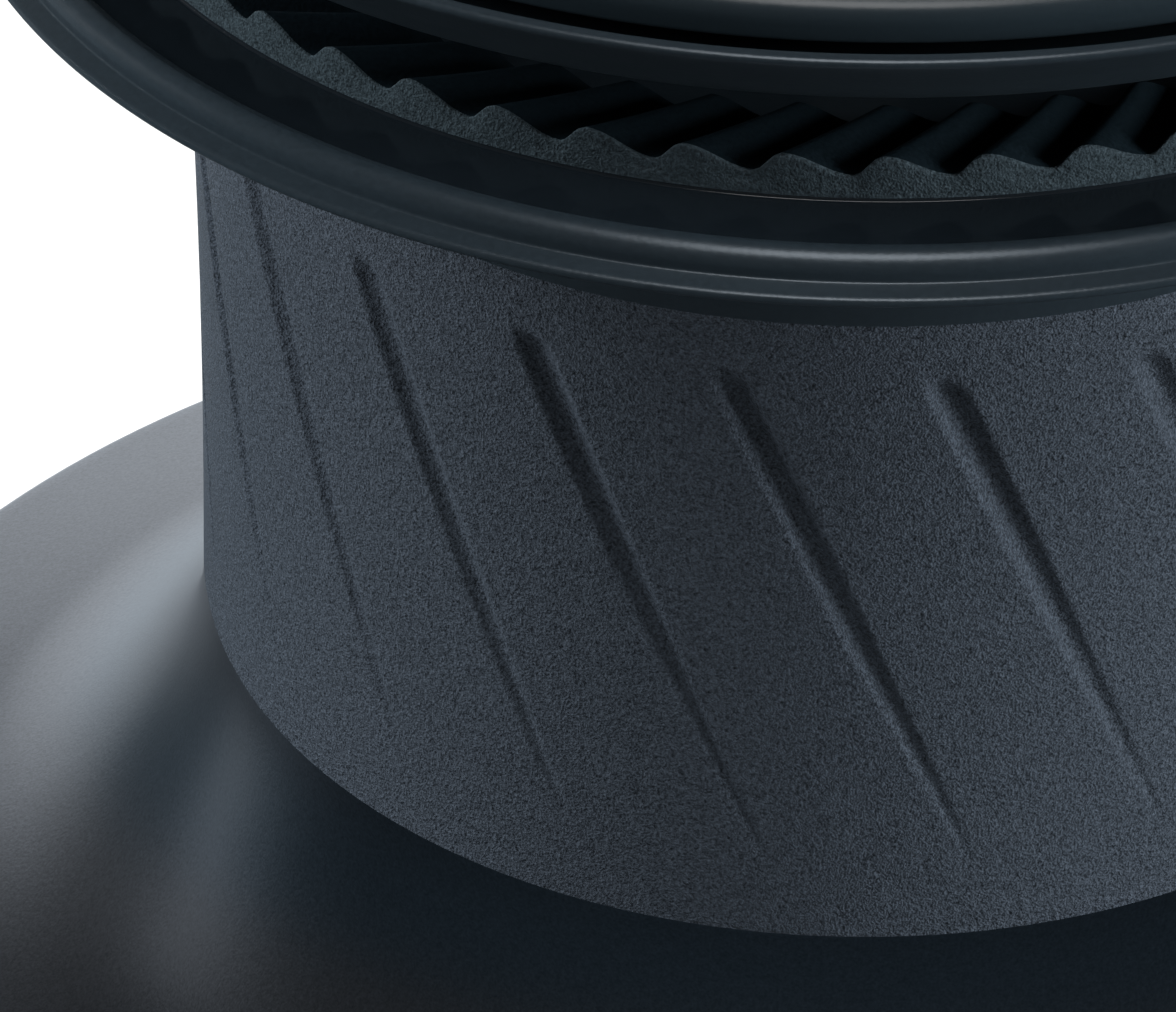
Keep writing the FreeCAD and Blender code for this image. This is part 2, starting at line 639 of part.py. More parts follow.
publish("spindle_washers", grouped("spindle_washers", washers))


# Gears
def involute(angle):
    return math.tan(angle) - angle


def gear_points(teeth, inner, outer, slack, phase, centre):
    """The outline of a toothed wheel, or of the hole in a toothed ring when the slack
    is negative, with one tooth or one space centred on the phase."""
    count = round(teeth.value)
    pitch_radius = teeth.value * module.value / 2
    pressure = math.radians(size.pressure_angle.value)
    base_radius = pitch_radius * math.cos(pressure)
    lowest = max(inner, base_radius)
    radii = [lowest + (outer - lowest) * step / 3 for step in range(4)]
    half = [math.pi / 2 / count - slack / pitch_radius + involute(pressure)
            - involute(math.acos(min(base_radius / radius, 1.0))) for radius in radii]
    flank = list(zip(radii, half))
    if inner < lowest:
        flank.insert(0, (inner, half[0]))
    points = []
    for tooth in range(count):
        middle = math.radians(phase) + 2 * math.pi * tooth / count
        for side, rising in ((-1, flank), (1, flank[::-1])):
            for radius, spread_angle in rising:
                turn = middle + side * spread_angle
                points.append(centre + FreeCAD.Vector(math.cos(turn), math.sin(turn), 0) * radius)
    return points


def wheel(name, teeth, bottom, top, phase, spot=None):
    """A toothed blank."""
    centre = at(spot) if spot else FreeCAD.Vector()
    pitch_radius = (teeth * module / 2).value
    points = gear_points(teeth, pitch_radius - tooth_root.value, pitch_radius + tooth_tip.value,
                         size.flank_slack.value, phase, centre)
    return shaped(name, slab(points, bottom.value, top.value))


def bearing_of(origin, target):
    way = at(target) - at(origin)
    return math.degrees(math.atan2(way.y, way.x))


def share(teeth, towards, phase):
    """How far round its tooth pitch a wheel stands at the line to its neighbour."""
    return (towards - phase) * teeth.value / 360.0


def facing_phase(teeth, towards, wanted):
    """The phase that gives the wanted share at the line to the neighbour."""
    return towards - wanted * 360.0 / teeth.value


idler_b_phase = size.idler_b_angle.value
towards_a = bearing_of(idler_b_spot, idler_a_spot)
share_b = share(size.idler_b_teeth, towards_a, idler_b_phase)
idler_a_phase = facing_phase(size.idler_a_teeth, towards_a + 180.0, 0.5 - share_b)
towards_axis = idler_a_angle.value + 180.0
share_a = share(size.idler_a_teeth, towards_axis, idler_a_phase)
first_phase = facing_phase(size.first_teeth, idler_a_angle.value, 0.5 - share_a)
shaft_phase = size.second_angle.value
second_phase = facing_phase(size.second_teeth, size.second_angle.value + 180.0, 0.5)
share_ring = share(size.ring_teeth, size.second_angle.value, size.idler_b_angle.value)
pinion_phase = facing_phase(size.pinion_teeth, size.second_angle.value, share_ring)

spindle_bore = size.spindle_radius + size.running_gap


def idler(name, teeth, phase, spot, gear_top):
    blank = wheel(name + "_teeth", teeth, mid_bottom, gear_top, phase, spot)
    hub = rod(name + "_hub", size.idler_hub_radius, low_bottom, ring_top, *spot)
    bore = rod(name + "_bore", spindle_bore, low_bottom - 1.0, ring_top + 1.0, *spot)
    return publish(name, carved(name, fused(name + "_blank", [blank, hub]), [bore]))


idler("idler_a", size.idler_a_teeth, idler_a_phase, idler_a_spot, mid_top)
idler("idler_b", size.idler_b_teeth, idler_b_phase, idler_b_spot, ring_top)

ring_hole = gear_points(size.ring_teeth, ring_tip.value, ring_root.value,
                        -size.flank_slack.value, size.idler_b_angle.value, FreeCAD.Vector())
ring_cutter = shaped("ring_hole", slab(ring_hole, ring_bottom.value - 1, ring_top.value + 1))
publish("drum_gear_ring", carved("drum_gear_ring", rod("ring_blank", ring_outer,
                                                       ring_bottom, ring_top), [ring_cutter]))


# Pawls and ratchets
class PawlSet:
    """Two pawls on a carrier; they swing about pivots parallel to the winch axis.
    The hand is 1 where they point anticlockwise seen from above and -1 where clockwise."""

    def __init__(self, circle, pivot, reach, rest_tip, folded_tip, centre, hand):
        self.circle = circle.value
        self.pivot = pivot.value
        self.reach = reach.value
        self.rest_lean = self.lean(rest_tip)
        self.folded_lean = self.lean(folded_tip)
        self.centre = centre
        self.hand = hand
        self.azimuths = (0.0, 180.0)

    def lean(self, tip):
        """Angle of the pawl from the tangent when its tip is that far from the centre."""
        across = (tip ** 2 + self.circle ** 2 - self.reach ** 2) / (2 * self.circle)
        along = math.sqrt(tip ** 2 - across ** 2)
        return math.degrees(math.atan2(across - self.circle, along))

    def pivot_point(self, azimuth):
        return self.centre + direction(azimuth) * self.circle

    def axes(self, azimuth, lean):
        """The pawl's own direction and the normal that points outwards."""
        along = direction(azimuth + self.hand * (90.0 - lean))
        return along, direction(azimuth - self.hand * lean)

    def face_point(self, engaged_tip, radius):
        """Where the end face of the engaged pawl, moved on by a small gap, meets a radius."""
        along, out = self.axes(self.azimuths[0], self.lean(engaged_tip))
        start = direction(self.azimuths[0]) * self.circle + along * (self.reach + 0.25)
        inward = start.dot(out)
        way = inward - math.sqrt(inward ** 2 - start.Length ** 2 + radius ** 2)
        return start - out * way

    def ratchet_points(self, tip, foot):
        """Saw teeth inside a gear; their steep faces lie square to the engaged pawls."""
        low = self.face_point(foot - 0.5, foot)
        high = self.face_point(foot - 0.5, tip)
        count = round(size.ratchet_count.value)
        points = []
        for tooth in range(count):
            turn = FreeCAD.Rotation(FreeCAD.Vector(0, 0, 1), self.hand * 360.0 / count * tooth)
            points.append(self.centre + turn.multVec(low))
            points.append(self.centre + turn.multVec(high))
        return points

    def pawl(self, azimuth, bottom, top):
        point = self.pivot_point(azimuth)
        along, out = self.axes(azimuth, self.rest_lean)
        tip = point + along * self.reach
        blade = slab([point + out * self.pivot, tip, tip - out * (self.pivot * 0.85),
                      point - out * self.pivot], bottom, top)
        body = solid_rod(self.pivot, bottom, top, point).fuse(blade)
        middle = (bottom + top) / 2
        slot = solid_rod(self.pivot + 0.6, middle - 0.6, middle + 0.6, point)
        return body.cut(slot)

    def pocket(self, azimuth, bottom, top):
        point = self.pivot_point(azimuth)
        along, out = self.axes(azimuth, self.folded_lean)
        inner = point - out * (self.pivot + size.clear_gap.value)
        start = point - along * (self.pivot * 0.45)
        reach = self.reach + 0.5
        mouth = slab([inner, inner + along * reach, point + along * reach + out * self.reach,
                      start + out * self.reach, start], bottom, top)
        return mouth.fuse(solid_rod(self.pivot + size.running_gap.value, bottom, top, point))

    def spring(self, azimuth, height):
        point = self.pivot_point(azimuth) + FreeCAD.Vector(0, 0, height)
        along = self.axes(azimuth, self.rest_lean)[0]
        start = FreeCAD.Placement(point, FreeCAD.Rotation(FreeCAD.Vector(1, 0, 0), along))
        coil = Part.makeTorus(size.pawl_spring_ring.value, size.pawl_spring_wire.value,
                              FreeCAD.Vector(), FreeCAD.Vector(0, 0, 1), 0, 360, 280)
        return coil.transformGeometry(start.toMatrix())


folded_gap = size.float_gap.value * 2
first_pawls = PawlSet(size.first_pawl_circle, size.first_pawl_pivot, size.first_pawl_reach,
                      size.first_ratchet_root.value - 0.5,
                      size.first_carrier_radius.value - folded_gap, FreeCAD.Vector(), -1)
second_pawls = PawlSet(size.second_pawl_circle, size.second_pawl_pivot, size.second_pawl_reach,
                       size.second_carrier_radius.value - folded_gap,
                       size.second_carrier_radius.value - folded_gap, at(second_spot), 1)

first_web_top = mid_bottom + size.web_height
first_cavity = first_web_top + size.float_gap
first_ratchet = shaped("first_ratchet", slab(
    first_pawls.ratchet_points(size.first_ratchet_tip.value, size.first_ratchet_root.value),
    first_web_top.value, mid_top.value + 1))
first_bore = rod("first_gear_bore", size.shaft_collar_radius + size.running_gap,
                 mid_bottom - 1.0, first_web_top)
publish("first_speed_gear", carved(
    "first_speed_gear", wheel("first_teeth_blank", size.first_teeth, mid_bottom, mid_top,
                              first_phase),
    [fused("first_gear_hole", [first_ratchet, first_bore])]))

second_web_top = low_bottom + size.web_height
second_cavity = second_web_top + size.float_gap
second_ratchet = shaped("second_ratchet", slab(
    second_pawls.ratchet_points(size.second_ratchet_tip.value, size.second_ratchet_root.value),
    second_web_top.value, low_top.value + 1))
second_bore = rod("second_gear_bore", size.second_hub_radius + size.running_gap,
                  low_bottom - 1.0, second_web_top, *second_spot)
publish("second_speed_gear", carved(
    "second_speed_gear", wheel("second_teeth_blank", size.second_teeth, low_bottom, low_top,
                               second_phase, second_spot),
    [fused("second_gear_hole", [second_ratchet, second_bore])]))

# Main shaft and what turns with it
carrier_top = mid_top
shaft_parts = [
    rod("shaft_foot", size.shaft_foot_radius, size.flange_height - size.foot_bush_sink
        + size.float_gap, low_bottom + 1.0),
    wheel("shaft_pinion", size.shaft_teeth, low_bottom, low_top, shaft_phase),
    rod("shaft_shoulder", size.shaft_collar_radius + 2.5, low_top + size.clear_gap,
        mid_bottom - size.float_gap),
    rod("shaft_collar", size.shaft_collar_radius, low_top - 1.0, first_cavity + 1.0),
    rod("shaft_carrier", size.first_carrier_radius, first_cavity, carrier_top),
    rod("shaft_bar", size.shaft_radius, carrier_top - 1.0, tenon_bottom),
    prism("shaft_tenon", 4, size.tenon_width, tenon_bottom - 1.0, tenon_top),
]
first_pockets = [shaped(f"first_pocket_{index}", first_pawls.pocket(
    azimuth, first_cavity.value - 0.01, carrier_top.value))
    for index, azimuth in enumerate(first_pawls.azimuths)]
socket_thread = rod("socket_thread", size.socket_screw_radius + size.seat_gap,
                    star_bottom - size.socket_screw_length - 1.0, tenon_top + 1.0)
publish("main_shaft", carved("main_shaft", fused("shaft_blank", shaft_parts),
                             first_pockets + [socket_thread]))
publish("first_gear_washer", tube(
    "first_gear_washer", size.shaft_radius + size.seat_gap, size.first_carrier_radius + 6.0,
    mid_top + size.float_gap, mid_top + size.float_gap + 1.3))

pawl_bottom = first_cavity + size.clear_gap
pawl_top = carrier_top - size.clear_gap
pawl_middle = (pawl_bottom.value + pawl_top.value) / 2
for letter, azimuth in zip("ab", first_pawls.azimuths):
    publish(f"first_pawl_{letter}", shaped(
        f"first_pawl_{letter}", first_pawls.pawl(azimuth, pawl_bottom.value, pawl_top.value)))
publish("first_pawl_springs", grouped("first_pawl_springs", [
    shaped(f"first_pawl_spring_{index}", first_pawls.spring(azimuth, pawl_middle))
    for index, azimuth in enumerate(first_pawls.azimuths)]))

square_seat = size.tenon_width + size.seat_gap * 2
star_a = prism("star_a", 4, size.socket_flats, star_bottom, socket_top + 1.0)
star_b = prism("star_b", 4, size.socket_flats, star_bottom, socket_top + 1.0, turn=45.0)
socket_holes = fused("socket_holes", [
    star_a, star_b,
    prism("tenon_hole", 4, square_seat, tenon_bottom - 1.0, tenon_top + 0.2),
    rod("socket_screw_hole", size.socket_screw_radius + size.clear_gap,
        tenon_top - 1.0, star_bottom + 1.0)])
socket_blank = turned("socket_blank", (
    (0.0, tenon_bottom),
    (size.socket_radius - 1.0, tenon_bottom),
    (size.socket_radius, tenon_bottom + 1.0),
    (size.socket_radius, socket_top - 1.0),
    (size.socket_radius - 1.0, socket_top),
    (0.0, socket_top)))
publish("handle_socket", carved("handle_socket", socket_blank, [socket_holes]))
publish("socket_screw", hex_screw("socket_screw", size.socket_screw_radius,
                                  size.stem_screw_head, size.stem_screw_head,
                                  size.socket_screw_length, 0.0, 0.0, star_bottom))

# Second speed carrier with its pinion
hub = size.second_hub_radius
carrier_low_top = low_top - size.clear_gap
second_pockets = [shaped(f"second_pocket_{index}", second_pawls.pocket(
    azimuth, second_cavity.value - 0.01, carrier_low_top.value))
    for index, azimuth in enumerate(second_pawls.azimuths)]
second_parts = [
    rod("second_hub", hub, low_bottom, ring_bottom + 1.0, *second_spot),
    rod("second_carrier", size.second_carrier_radius, second_cavity, carrier_low_top,
        *second_spot),
    wheel("pinion_blank", size.pinion_teeth, ring_bottom, ring_top, pinion_phase, second_spot),
]
publish("second_speed_pinion", carved(
    "second_speed_pinion", fused("second_blank", second_parts),
    second_pockets + [rod("pinion_bore", spindle_bore, low_bottom - 1.0, ring_top + 1.0,
                          *second_spot)]))
low_pawl_bottom = second_cavity + size.clear_gap
low_pawl_top = carrier_low_top - size.clear_gap
for letter, azimuth in zip("ab", second_pawls.azimuths):
    publish(f"second_pawl_{letter}", shaped(
        f"second_pawl_{letter}",
        second_pawls.pawl(azimuth, low_pawl_bottom.value, low_pawl_top.value)))
low_pawl_middle = (low_pawl_bottom.value + low_pawl_top.value) / 2
publish("second_pawl_springs", grouped("second_pawl_springs", [
    shaped(f"second_pawl_spring_{index}", second_pawls.spring(azimuth, low_pawl_middle))
    for index, azimuth in enumerate(second_pawls.azimuths)]))

# Drum
flare_axis = size.barrel_radius + size.flare_radius
flare_lip = size.flare_rim_radius - 0.8
flare_reach = flare_lip - flare_axis
flare_span = flare_reach * flare_reach + size.flare_drop * size.flare_drop
flare_touch = root(flare_span - size.flare_radius * size.flare_radius)
flare_share = size.flare_radius / flare_span
flare_end = flare_axis + flare_share * (size.flare_radius * flare_reach
                                        - flare_touch * size.flare_drop)
flare_end_height = size.barrel_foot - flare_share * (size.flare_radius * size.flare_drop
                                                     + flare_touch * flare_reach)
inner_flare = size.flare_radius + size.flare_wall
ledge_inner = flare_axis - root(inner_flare * inner_flare
                                - (size.barrel_foot - drum_ledge)
                                * (size.barrel_foot - drum_ledge))
ring_cover = size.barrel_foot - root(inner_flare * inner_flare
                                     - (flare_axis - ring_root) * (flare_axis - ring_root))
hollow_radius = (size.barrel_height * size.barrel_height / 4
                 + size.barrel_hollow * size.barrel_hollow) / (2 * size.barrel_hollow)
seat_outer = ring_outer + size.seat_gap + size.ring_seat_wall
drum_blank = turned("drum_blank", (
    (drum_bore, drum_ledge),
    (drum_bore, barrel_top),
    (size.neck_bore, barrel_top),
    (size.neck_bore, neck_top),
    (size.neck_radius, neck_top),
    (size.neck_radius, barrel_top),
    (size.barrel_radius, barrel_top),
    (size.barrel_radius, size.barrel_foot, hollow_radius, 1.0),
    (flare_end, flare_end_height, size.flare_radius, 1.0),
    (flare_lip, flare_rim_top),
    (size.flare_rim_radius, flare_rim_top - 0.8),
    (size.flare_rim_radius, ring_top),
    (seat_outer, ring_top),
    (seat_outer, ring_top - size.ring_seat_depth),
    (ring_outer + size.seat_gap, ring_top - size.ring_seat_depth),
    (ring_outer + size.seat_gap, ring_top),
    (ring_root, ring_top),
    (ring_root, ring_cover),
    (ledge_inner, drum_ledge, inner_flare, -1.0)))


def groove_cutter(azimuth):
    """A slanted groove: short straight runs round the barrel, shallower towards its foot."""
    runs = 3
    top = barrel_top.value - size.groove_top_gap.value - size.groove_radius.value
    foot = size.barrel_foot.value + size.groove_foot_gap.value
    centre_radius = size.barrel_radius.value - size.barrel_hollow.value + size.groove_radius.value
    spots = []
    for step in range(runs + 1):
        part = step / runs
        sink = size.groove_sink.value * (1.0 - part ** 2)
        spot = direction(azimuth + size.groove_twist.value * part) * (centre_radius - sink)
        spots.append(spot + FreeCAD.Vector(0, 0, top + (foot - top) * part))
    pieces = [Part.makeSphere(size.groove_radius.value, spot) for spot in spots]
    for start, end in zip(spots, spots[1:]):
        way = end - start
        pieces.append(Part.makeCylinder(size.groove_radius.value, way.Length, start, way))
    return pieces[0].fuse(pieces[1:])


key_angles = spread(size.key_count, size.arm_angle + 10.0)
key_inner = size.neck_radius - size.key_depth * 0.7
key_slots = [block(f"neck_slot_{index}", size.key_depth + 3.0, size.key_width + size.seat_gap * 2,
                   barrel_top + 0.5, neck_top + 1.0, key_inner - size.seat_gap, angle)
             for index, angle in enumerate(key_angles)]
neck_middle = (size.neck_radius + size.neck_bore) / 2
retainer_spots = [polar(neck_middle, angle)
                  for angle in spread(size.jaw_screw_count, size.arm_angle + 40.0)]
lower_screw_spots = [polar(size.jaw_screw_circle, angle)
                     for angle in spread(size.jaw_screw_count, size.arm_angle + 40.0)]
small_thread = size.small_screw_radius + size.seat_gap
retainer_threads = [rod(f"retainer_thread_{index}", small_thread,
                        retainer_top - size.small_screw_length - 0.5, neck_top + 1.0, x, y)
                    for index, (x, y) in enumerate(retainer_spots)]
lower_screw_seat = jaw_land - size.lower_jaw_height * 0.6
jaw_threads = [rod(f"jaw_thread_{index}", small_thread,
                   lower_screw_seat - size.jaw_screw_length - 0.5, barrel_top + 1.0, x, y)
               for index, (x, y) in enumerate(lower_screw_spots)]
grooves = shaped("grooves", Part.makeCompound(
    [groove_cutter(angle.value) for angle in spread(size.groove_count, size.groove_first_angle)]))
publish("drum", carved("drum", drum_blank,
                       key_slots + retainer_threads + jaw_threads + [grooves]))
publish("drum_thrust_washer", tube(
    "drum_thrust_washer", size.stem_radius + size.seat_gap, size.stem_foot_radius + 0.5,
    washer_bottom, washer_bottom + size.drum_washer_height))

# Roller bearings
roller_circle = size.stem_radius + size.roller_path / 2
cage_inner = roller_circle - size.cage_wall / 2
cage_outer = roller_circle + size.cage_wall / 2
lower_cage_bottom = drum_ledge + size.clear_gap
upper_cage_bottom = barrel_top - size.clear_gap - size.cage_height


def bearing(name, bottom):
    """A cage and its rollers."""
    roller_bottom = bottom + (size.cage_height - size.roller_length) / 2
    roller_top = roller_bottom + size.roller_length
    play = size.running_gap + 0.03
    spots = [polar(roller_circle, angle) for angle in spread(size.roller_count)]
    pockets = [rod(f"{name}_pocket_{index}", size.roller_radius + play, roller_bottom - play,
                   roller_top + play, x, y) for index, (x, y) in enumerate(spots)]
    ring = tube(name + "_ring", cage_inner, cage_outer, bottom, bottom + size.cage_height)
    publish(name + "_cage", carved(name + "_cage", ring, pockets))
    publish(name + "_rollers", grouped(name + "_rollers", [
        rod(f"{name}_roller_{index}", size.roller_radius, roller_bottom, roller_top, x, y)
        for index, (x, y) in enumerate(spots)]))


bearing("lower_bearing", lower_cage_bottom)
bearing("upper_bearing", upper_cage_bottom)
publish("bearing_spacer", tube(
    "bearing_spacer", size.stem_radius + size.seat_gap, size.stem_radius + size.spacer_wall,
    lower_cage_bottom + size.cage_height + size.clear_gap, upper_cage_bottom - size.clear_gap))


# Jaws
def rib_cutter(outer_spot, inner_spot, depth, pitch, upwards):
    """A V-shaped bar along the bottom of one notch between two ribs."""
    half = pitch * 0.75
    rise = depth * half / (pitch / 2) * (1 if upwards else -1)
    way = inner_spot - outer_spot
    across = way.cross(FreeCAD.Vector(0, 0, 1)).normalize() * half
    lift = FreeCAD.Vector(0, 0, rise)
    corners = [outer_spot, outer_spot + lift + across, outer_spot + lift - across]
    face = Part.Face(Part.makePolygon(corners + corners[:1]))
    return face.extrude(way)


def jaw_notches(outer, inner, outer_height, inner_height, depth, upwards):
    """The notches of one jaw; each runs inwards on a slant."""
    count = round(size.rib_count.value)
    slant = math.tan(math.radians(size.rib_slant.value))
    turn = math.degrees((outer - inner) * slant / ((outer + inner) / 2))
    pitch = 2 * math.pi * outer / count * math.cos(math.radians(size.rib_slant.value))
    cutters = []
    for index in range(count):
        azimuth = size.rib_first_angle.value + 360.0 / count * index
        start = direction(azimuth) * outer + FreeCAD.Vector(0, 0, outer_height)
        end = direction(azimuth + turn) * inner + FreeCAD.Vector(0, 0, inner_height)
        cutters.append(rib_cutter(start, end, depth, pitch, upwards))
    return cutters


def neck_slots(name, bottom, top):
    return [block(f"{name}_{index}", size.key_depth + 3.0, size.key_width + size.float_gap * 2,
                  bottom, top, key_inner - 1.0, angle) for index, angle in enumerate(key_angles)]


jaw_bore = size.neck_radius + size.running_gap
rib_inner_top = crown_top - (size.crown_radius - size.rib_root_radius) * 0.1
lower_jaw_blank = turned("lower_jaw_blank", (
    (jaw_bore, barrel_top),
    (size.barrel_radius, barrel_top),
    (size.barrel_radius + size.under_arc, barrel_top + size.under_arc, size.under_arc, -1.0),
    (size.jaw_lip_radius - 0.5, barrel_top + size.under_arc + 0.1),
    (size.jaw_lip_radius, barrel_top + size.under_arc + 0.5),
    (size.jaw_lip_radius, barrel_top + size.under_arc + 1.1),
    (size.jaw_edge_radius - 0.2, jaw_edge_top - 0.5),
    (size.jaw_edge_radius, jaw_edge_top - 0.2),
    (size.jaw_edge_radius - 0.4, jaw_edge_top),
    (size.jaw_edge_radius - 0.9, annulus_top),
    (size.crown_radius, annulus_top),
    (size.crown_radius, crown_top),
    (size.rib_root_radius, rib_inner_top),
    (size.rib_root_radius, jaw_land),
    (jaw_bore, jaw_land)))
lower_notches = jaw_notches(
    size.crown_radius.value + 0.5, size.rib_root_radius.value - 0.5,
    crown_top.value - size.rib_depth.value, rib_inner_top.value - size.rib_depth.value,
    size.rib_depth.value, True)
sinks = [rod(f"jaw_sink_{index}", size.small_screw_radius * 1.95, lower_screw_seat,
             jaw_land + 1.0, x, y) for index, (x, y) in enumerate(lower_screw_spots)]
sink_holes = [rod(f"jaw_hole_{index}", small_thread, barrel_top - 1.0, lower_screw_seat + 1.0,
                  x, y) for index, (x, y) in enumerate(lower_screw_spots)]
jaw_bores = [fused(f"jaw_bore_{index}", list(pair))
             for index, pair in enumerate(zip(sinks, sink_holes))]
plain_lower = carved("plain_lower", lower_jaw_blank,
                     jaw_bores + neck_slots("lower_slot", barrel_top - 1.0, jaw_land + 1.0))

jaw_slope = 0.29
upper_face_outer = size.upper_nose_radius - 1.3
upper_face_top = nose_height - 1.7
upper_land = upper_face_top - (upper_face_outer - size.rib_root_radius + 4.0) * jaw_slope
step_radius = size.retainer_radius + 0.6
upper_jaw_blank = turned("upper_jaw_blank", (
    (jaw_bore, upper_land),
    (size.rib_root_radius - 4.0, upper_land),
    (upper_face_outer, upper_face_top),
    (size.upper_nose_radius, nose_height),
    (size.upper_rim_radius, rim_top),
    (size.upper_rim_radius - 0.3, rim_top + 0.3),
    (size.upper_rim_radius - 0.9, rim_top + 0.3),
    (size.disc_radius + 0.8, nose_height - 0.4),
    (step_radius, nose_height - 0.4),
    (step_radius, jaw_top),
    (jaw_bore, jaw_top)))
upper_rib_outer = upper_face_outer.value - 1.6
upper_rib_inner = size.rib_root_radius.value
upper_rib_height = upper_face_top.value - 1.6 * jaw_slope + size.upper_rib_depth.value
upper_notches = jaw_notches(
    upper_rib_outer, upper_rib_inner, upper_rib_height,
    upper_rib_height - (upper_rib_outer - upper_rib_inner) * jaw_slope,
    size.upper_rib_depth.value, False)
spring_spots = [polar(size.spring_circle, angle)
                for angle in spread(size.spring_count, size.arm_angle + 10.0)]
spring_pockets = [rod(f"spring_pocket_{index}", size.spring_radius + size.spring_wire
                      + size.clear_gap, pocket_floor, jaw_top + 1.0, x, y)
                  for index, (x, y) in enumerate(spring_spots)]
plain_upper = carved("plain_upper", upper_jaw_blank,
                     spring_pockets + neck_slots("upper_slot", upper_land - 1.0, jaw_top + 1.0))
doc.recompute()
publish("lower_jaw", shaped("lower_jaw", plain_lower.Shape.cut(lower_notches)))
publish("upper_jaw", shaped("upper_jaw", plain_upper.Shape.cut(upper_notches)))

# What holds and springs the jaws
publish("jaw_keys", grouped("jaw_keys", [
    block(f"jaw_key_{index}", size.key_depth, size.key_width, barrel_top + 0.5,
          neck_top - size.clear_gap, key_inner, angle) for index, angle in enumerate(key_angles)]))
retainer_ring = tube("retainer_ring", size.neck_bore + size.clear_gap, size.retainer_radius,
                     neck_top, retainer_top)
retainer_holes = [rod(f"retainer_hole_{index}", small_thread, neck_top - 1.0, retainer_top + 1.0,
                      x, y) for index, (x, y) in enumerate(retainer_spots)]
publish("jaw_retaining_ring", carved("jaw_retaining_ring", retainer_ring, retainer_holes))
publish("retaining_ring_screws", grouped("retaining_ring_screws", [
    hex_screw(f"retainer_screw_{index}", size.small_screw_radius, size.small_screw_radius * 1.8,
              1.6, size.small_screw_length, x, y, retainer_top)
    for index, (x, y) in enumerate(retainer_spots)]))
publish("lower_jaw_screws", grouped("lower_jaw_screws", [
    hex_screw(f"lower_jaw_screw_{index}", size.small_screw_radius,
              size.small_screw_radius * 1.8, 3.0, size.jaw_screw_length, x, y, lower_screw_seat)
    for index, (x, y) in enumerate(lower_screw_spots)]))


def coil_spring(spot, bottom, top):
    """An open coil that stands between its pocket and the retaining ring."""
    wire = size.spring_wire.value
    coil = size.spring_radius.value
    height = top - bottom - 2 * wire
    path = Part.makeHelix(height / size.spring_turns.value, height, coil)
    path.translate(FreeCAD.Vector(spot.x, spot.y, bottom + wire))
    start = FreeCAD.Vector(spot.x + coil, spot.y, bottom + wire)
    section = Part.Wire(Part.makeCircle(wire, start, FreeCAD.Vector(0, 1, 0)))
    return Part.Wire(path).makePipeShell([section], True, True)


publish("jaw_springs", shaped("jaw_springs", Part.makeCompound([
    coil_spring(at(spot), pocket_floor.value, neck_top.value) for spot in spring_spots])))

# Stripper arm with the top disc, its guide and its peeler
disc_outer = turned("disc_outer", (
    (size.disc_hub_bore, stem_head),
    (size.disc_hub_radius - 2.0, stem_head),
    (size.disc_hub_radius - 2.0, hub_top - size.disc_wall - 0.7),
    (size.neck_radius + 2.0, hub_top - size.disc_wall - 0.7),
    (step_radius, disc_bottom + size.disc_wall),
    (size.disc_radius - 2.0, disc_bottom + size.disc_edge),
    (size.disc_radius - 1.2, disc_bottom),
    (size.disc_radius, disc_bottom),
    (size.disc_radius, disc_bottom + size.disc_edge),
    (size.disc_radius - 1.8, disc_bottom + size.disc_edge + 1.8, 1.8, 1.0),
    (size.disc_hub_radius + 3.0, hub_top, 45.0, 1.0),
    (size.disc_hub_bore, hub_top)))
arm_solid = turned("arm_solid", (
    (size.disc_hub_radius + 8.0, hub_top - size.disc_wall),
    (step_radius + 2.4, disc_bottom + size.disc_wall),
    (size.disc_radius - 0.1, disc_bottom + size.disc_edge),
    (size.disc_radius + 0.1, arm_bottom),
    (size.post_inner, arm_bottom),
    (size.post_inner, post_bottom),
    (size.post_outer, post_bottom),
    (size.post_outer, arm_top - 4.0),
    (size.post_outer - 4.0, arm_top, 4.0, 1.0),
    (step_radius, arm_top),
    (size.disc_hub_radius + 8.0, hub_top)), size.arm_sweep, size.arm_angle)
arm_holes = [rod(f"arm_hole_{index}", size.jaw_screw_radius + size.seat_gap, stem_head - 1.0,
                 hub_top + 1.0, x, y) for index, (x, y) in enumerate(arm_screw_spots)]
guide_screw_circle = (size.post_inner + size.post_outer) / 2
guide_screw_spots = [polar(guide_screw_circle, size.arm_angle - 6.0),
                     polar(guide_screw_circle, size.arm_angle + 6.0)]
guide_threads = [rod(f"guide_thread_{index}", small_thread, post_bottom - 1.0,
                     post_bottom + size.small_screw_length, x, y)
                 for index, (x, y) in enumerate(guide_screw_spots)]
peeler_middle = (jaw_edge_top + nose_height) / 2
peeler_screw_angles = [size.arm_angle - 4.0, size.arm_angle + 4.0]
peeler_base = size.upper_rim_radius + 0.9
peeler_screw_inner = peeler_base + 0.5
peeler_threads = [radial_rod(f"peeler_thread_{index}", small_thread, size.post_inner - 1.0,
                             size.post_outer + 1.0, angle, peeler_middle)
                  for index, angle in enumerate(peeler_screw_angles)]
publish("stripper_arm", carved("stripper_arm", fused("arm_blank", [disc_outer, arm_solid]),
                               arm_holes + guide_threads + peeler_threads))
publish("arm_screws", grouped("arm_screws", [
    hex_screw(f"arm_screw_{index}", size.jaw_screw_radius, size.jaw_screw_radius * 1.7, 3.2,
              size.jaw_screw_length, x, y, arm_screw_seat)
    for index, (x, y) in enumerate(arm_screw_spots)]))

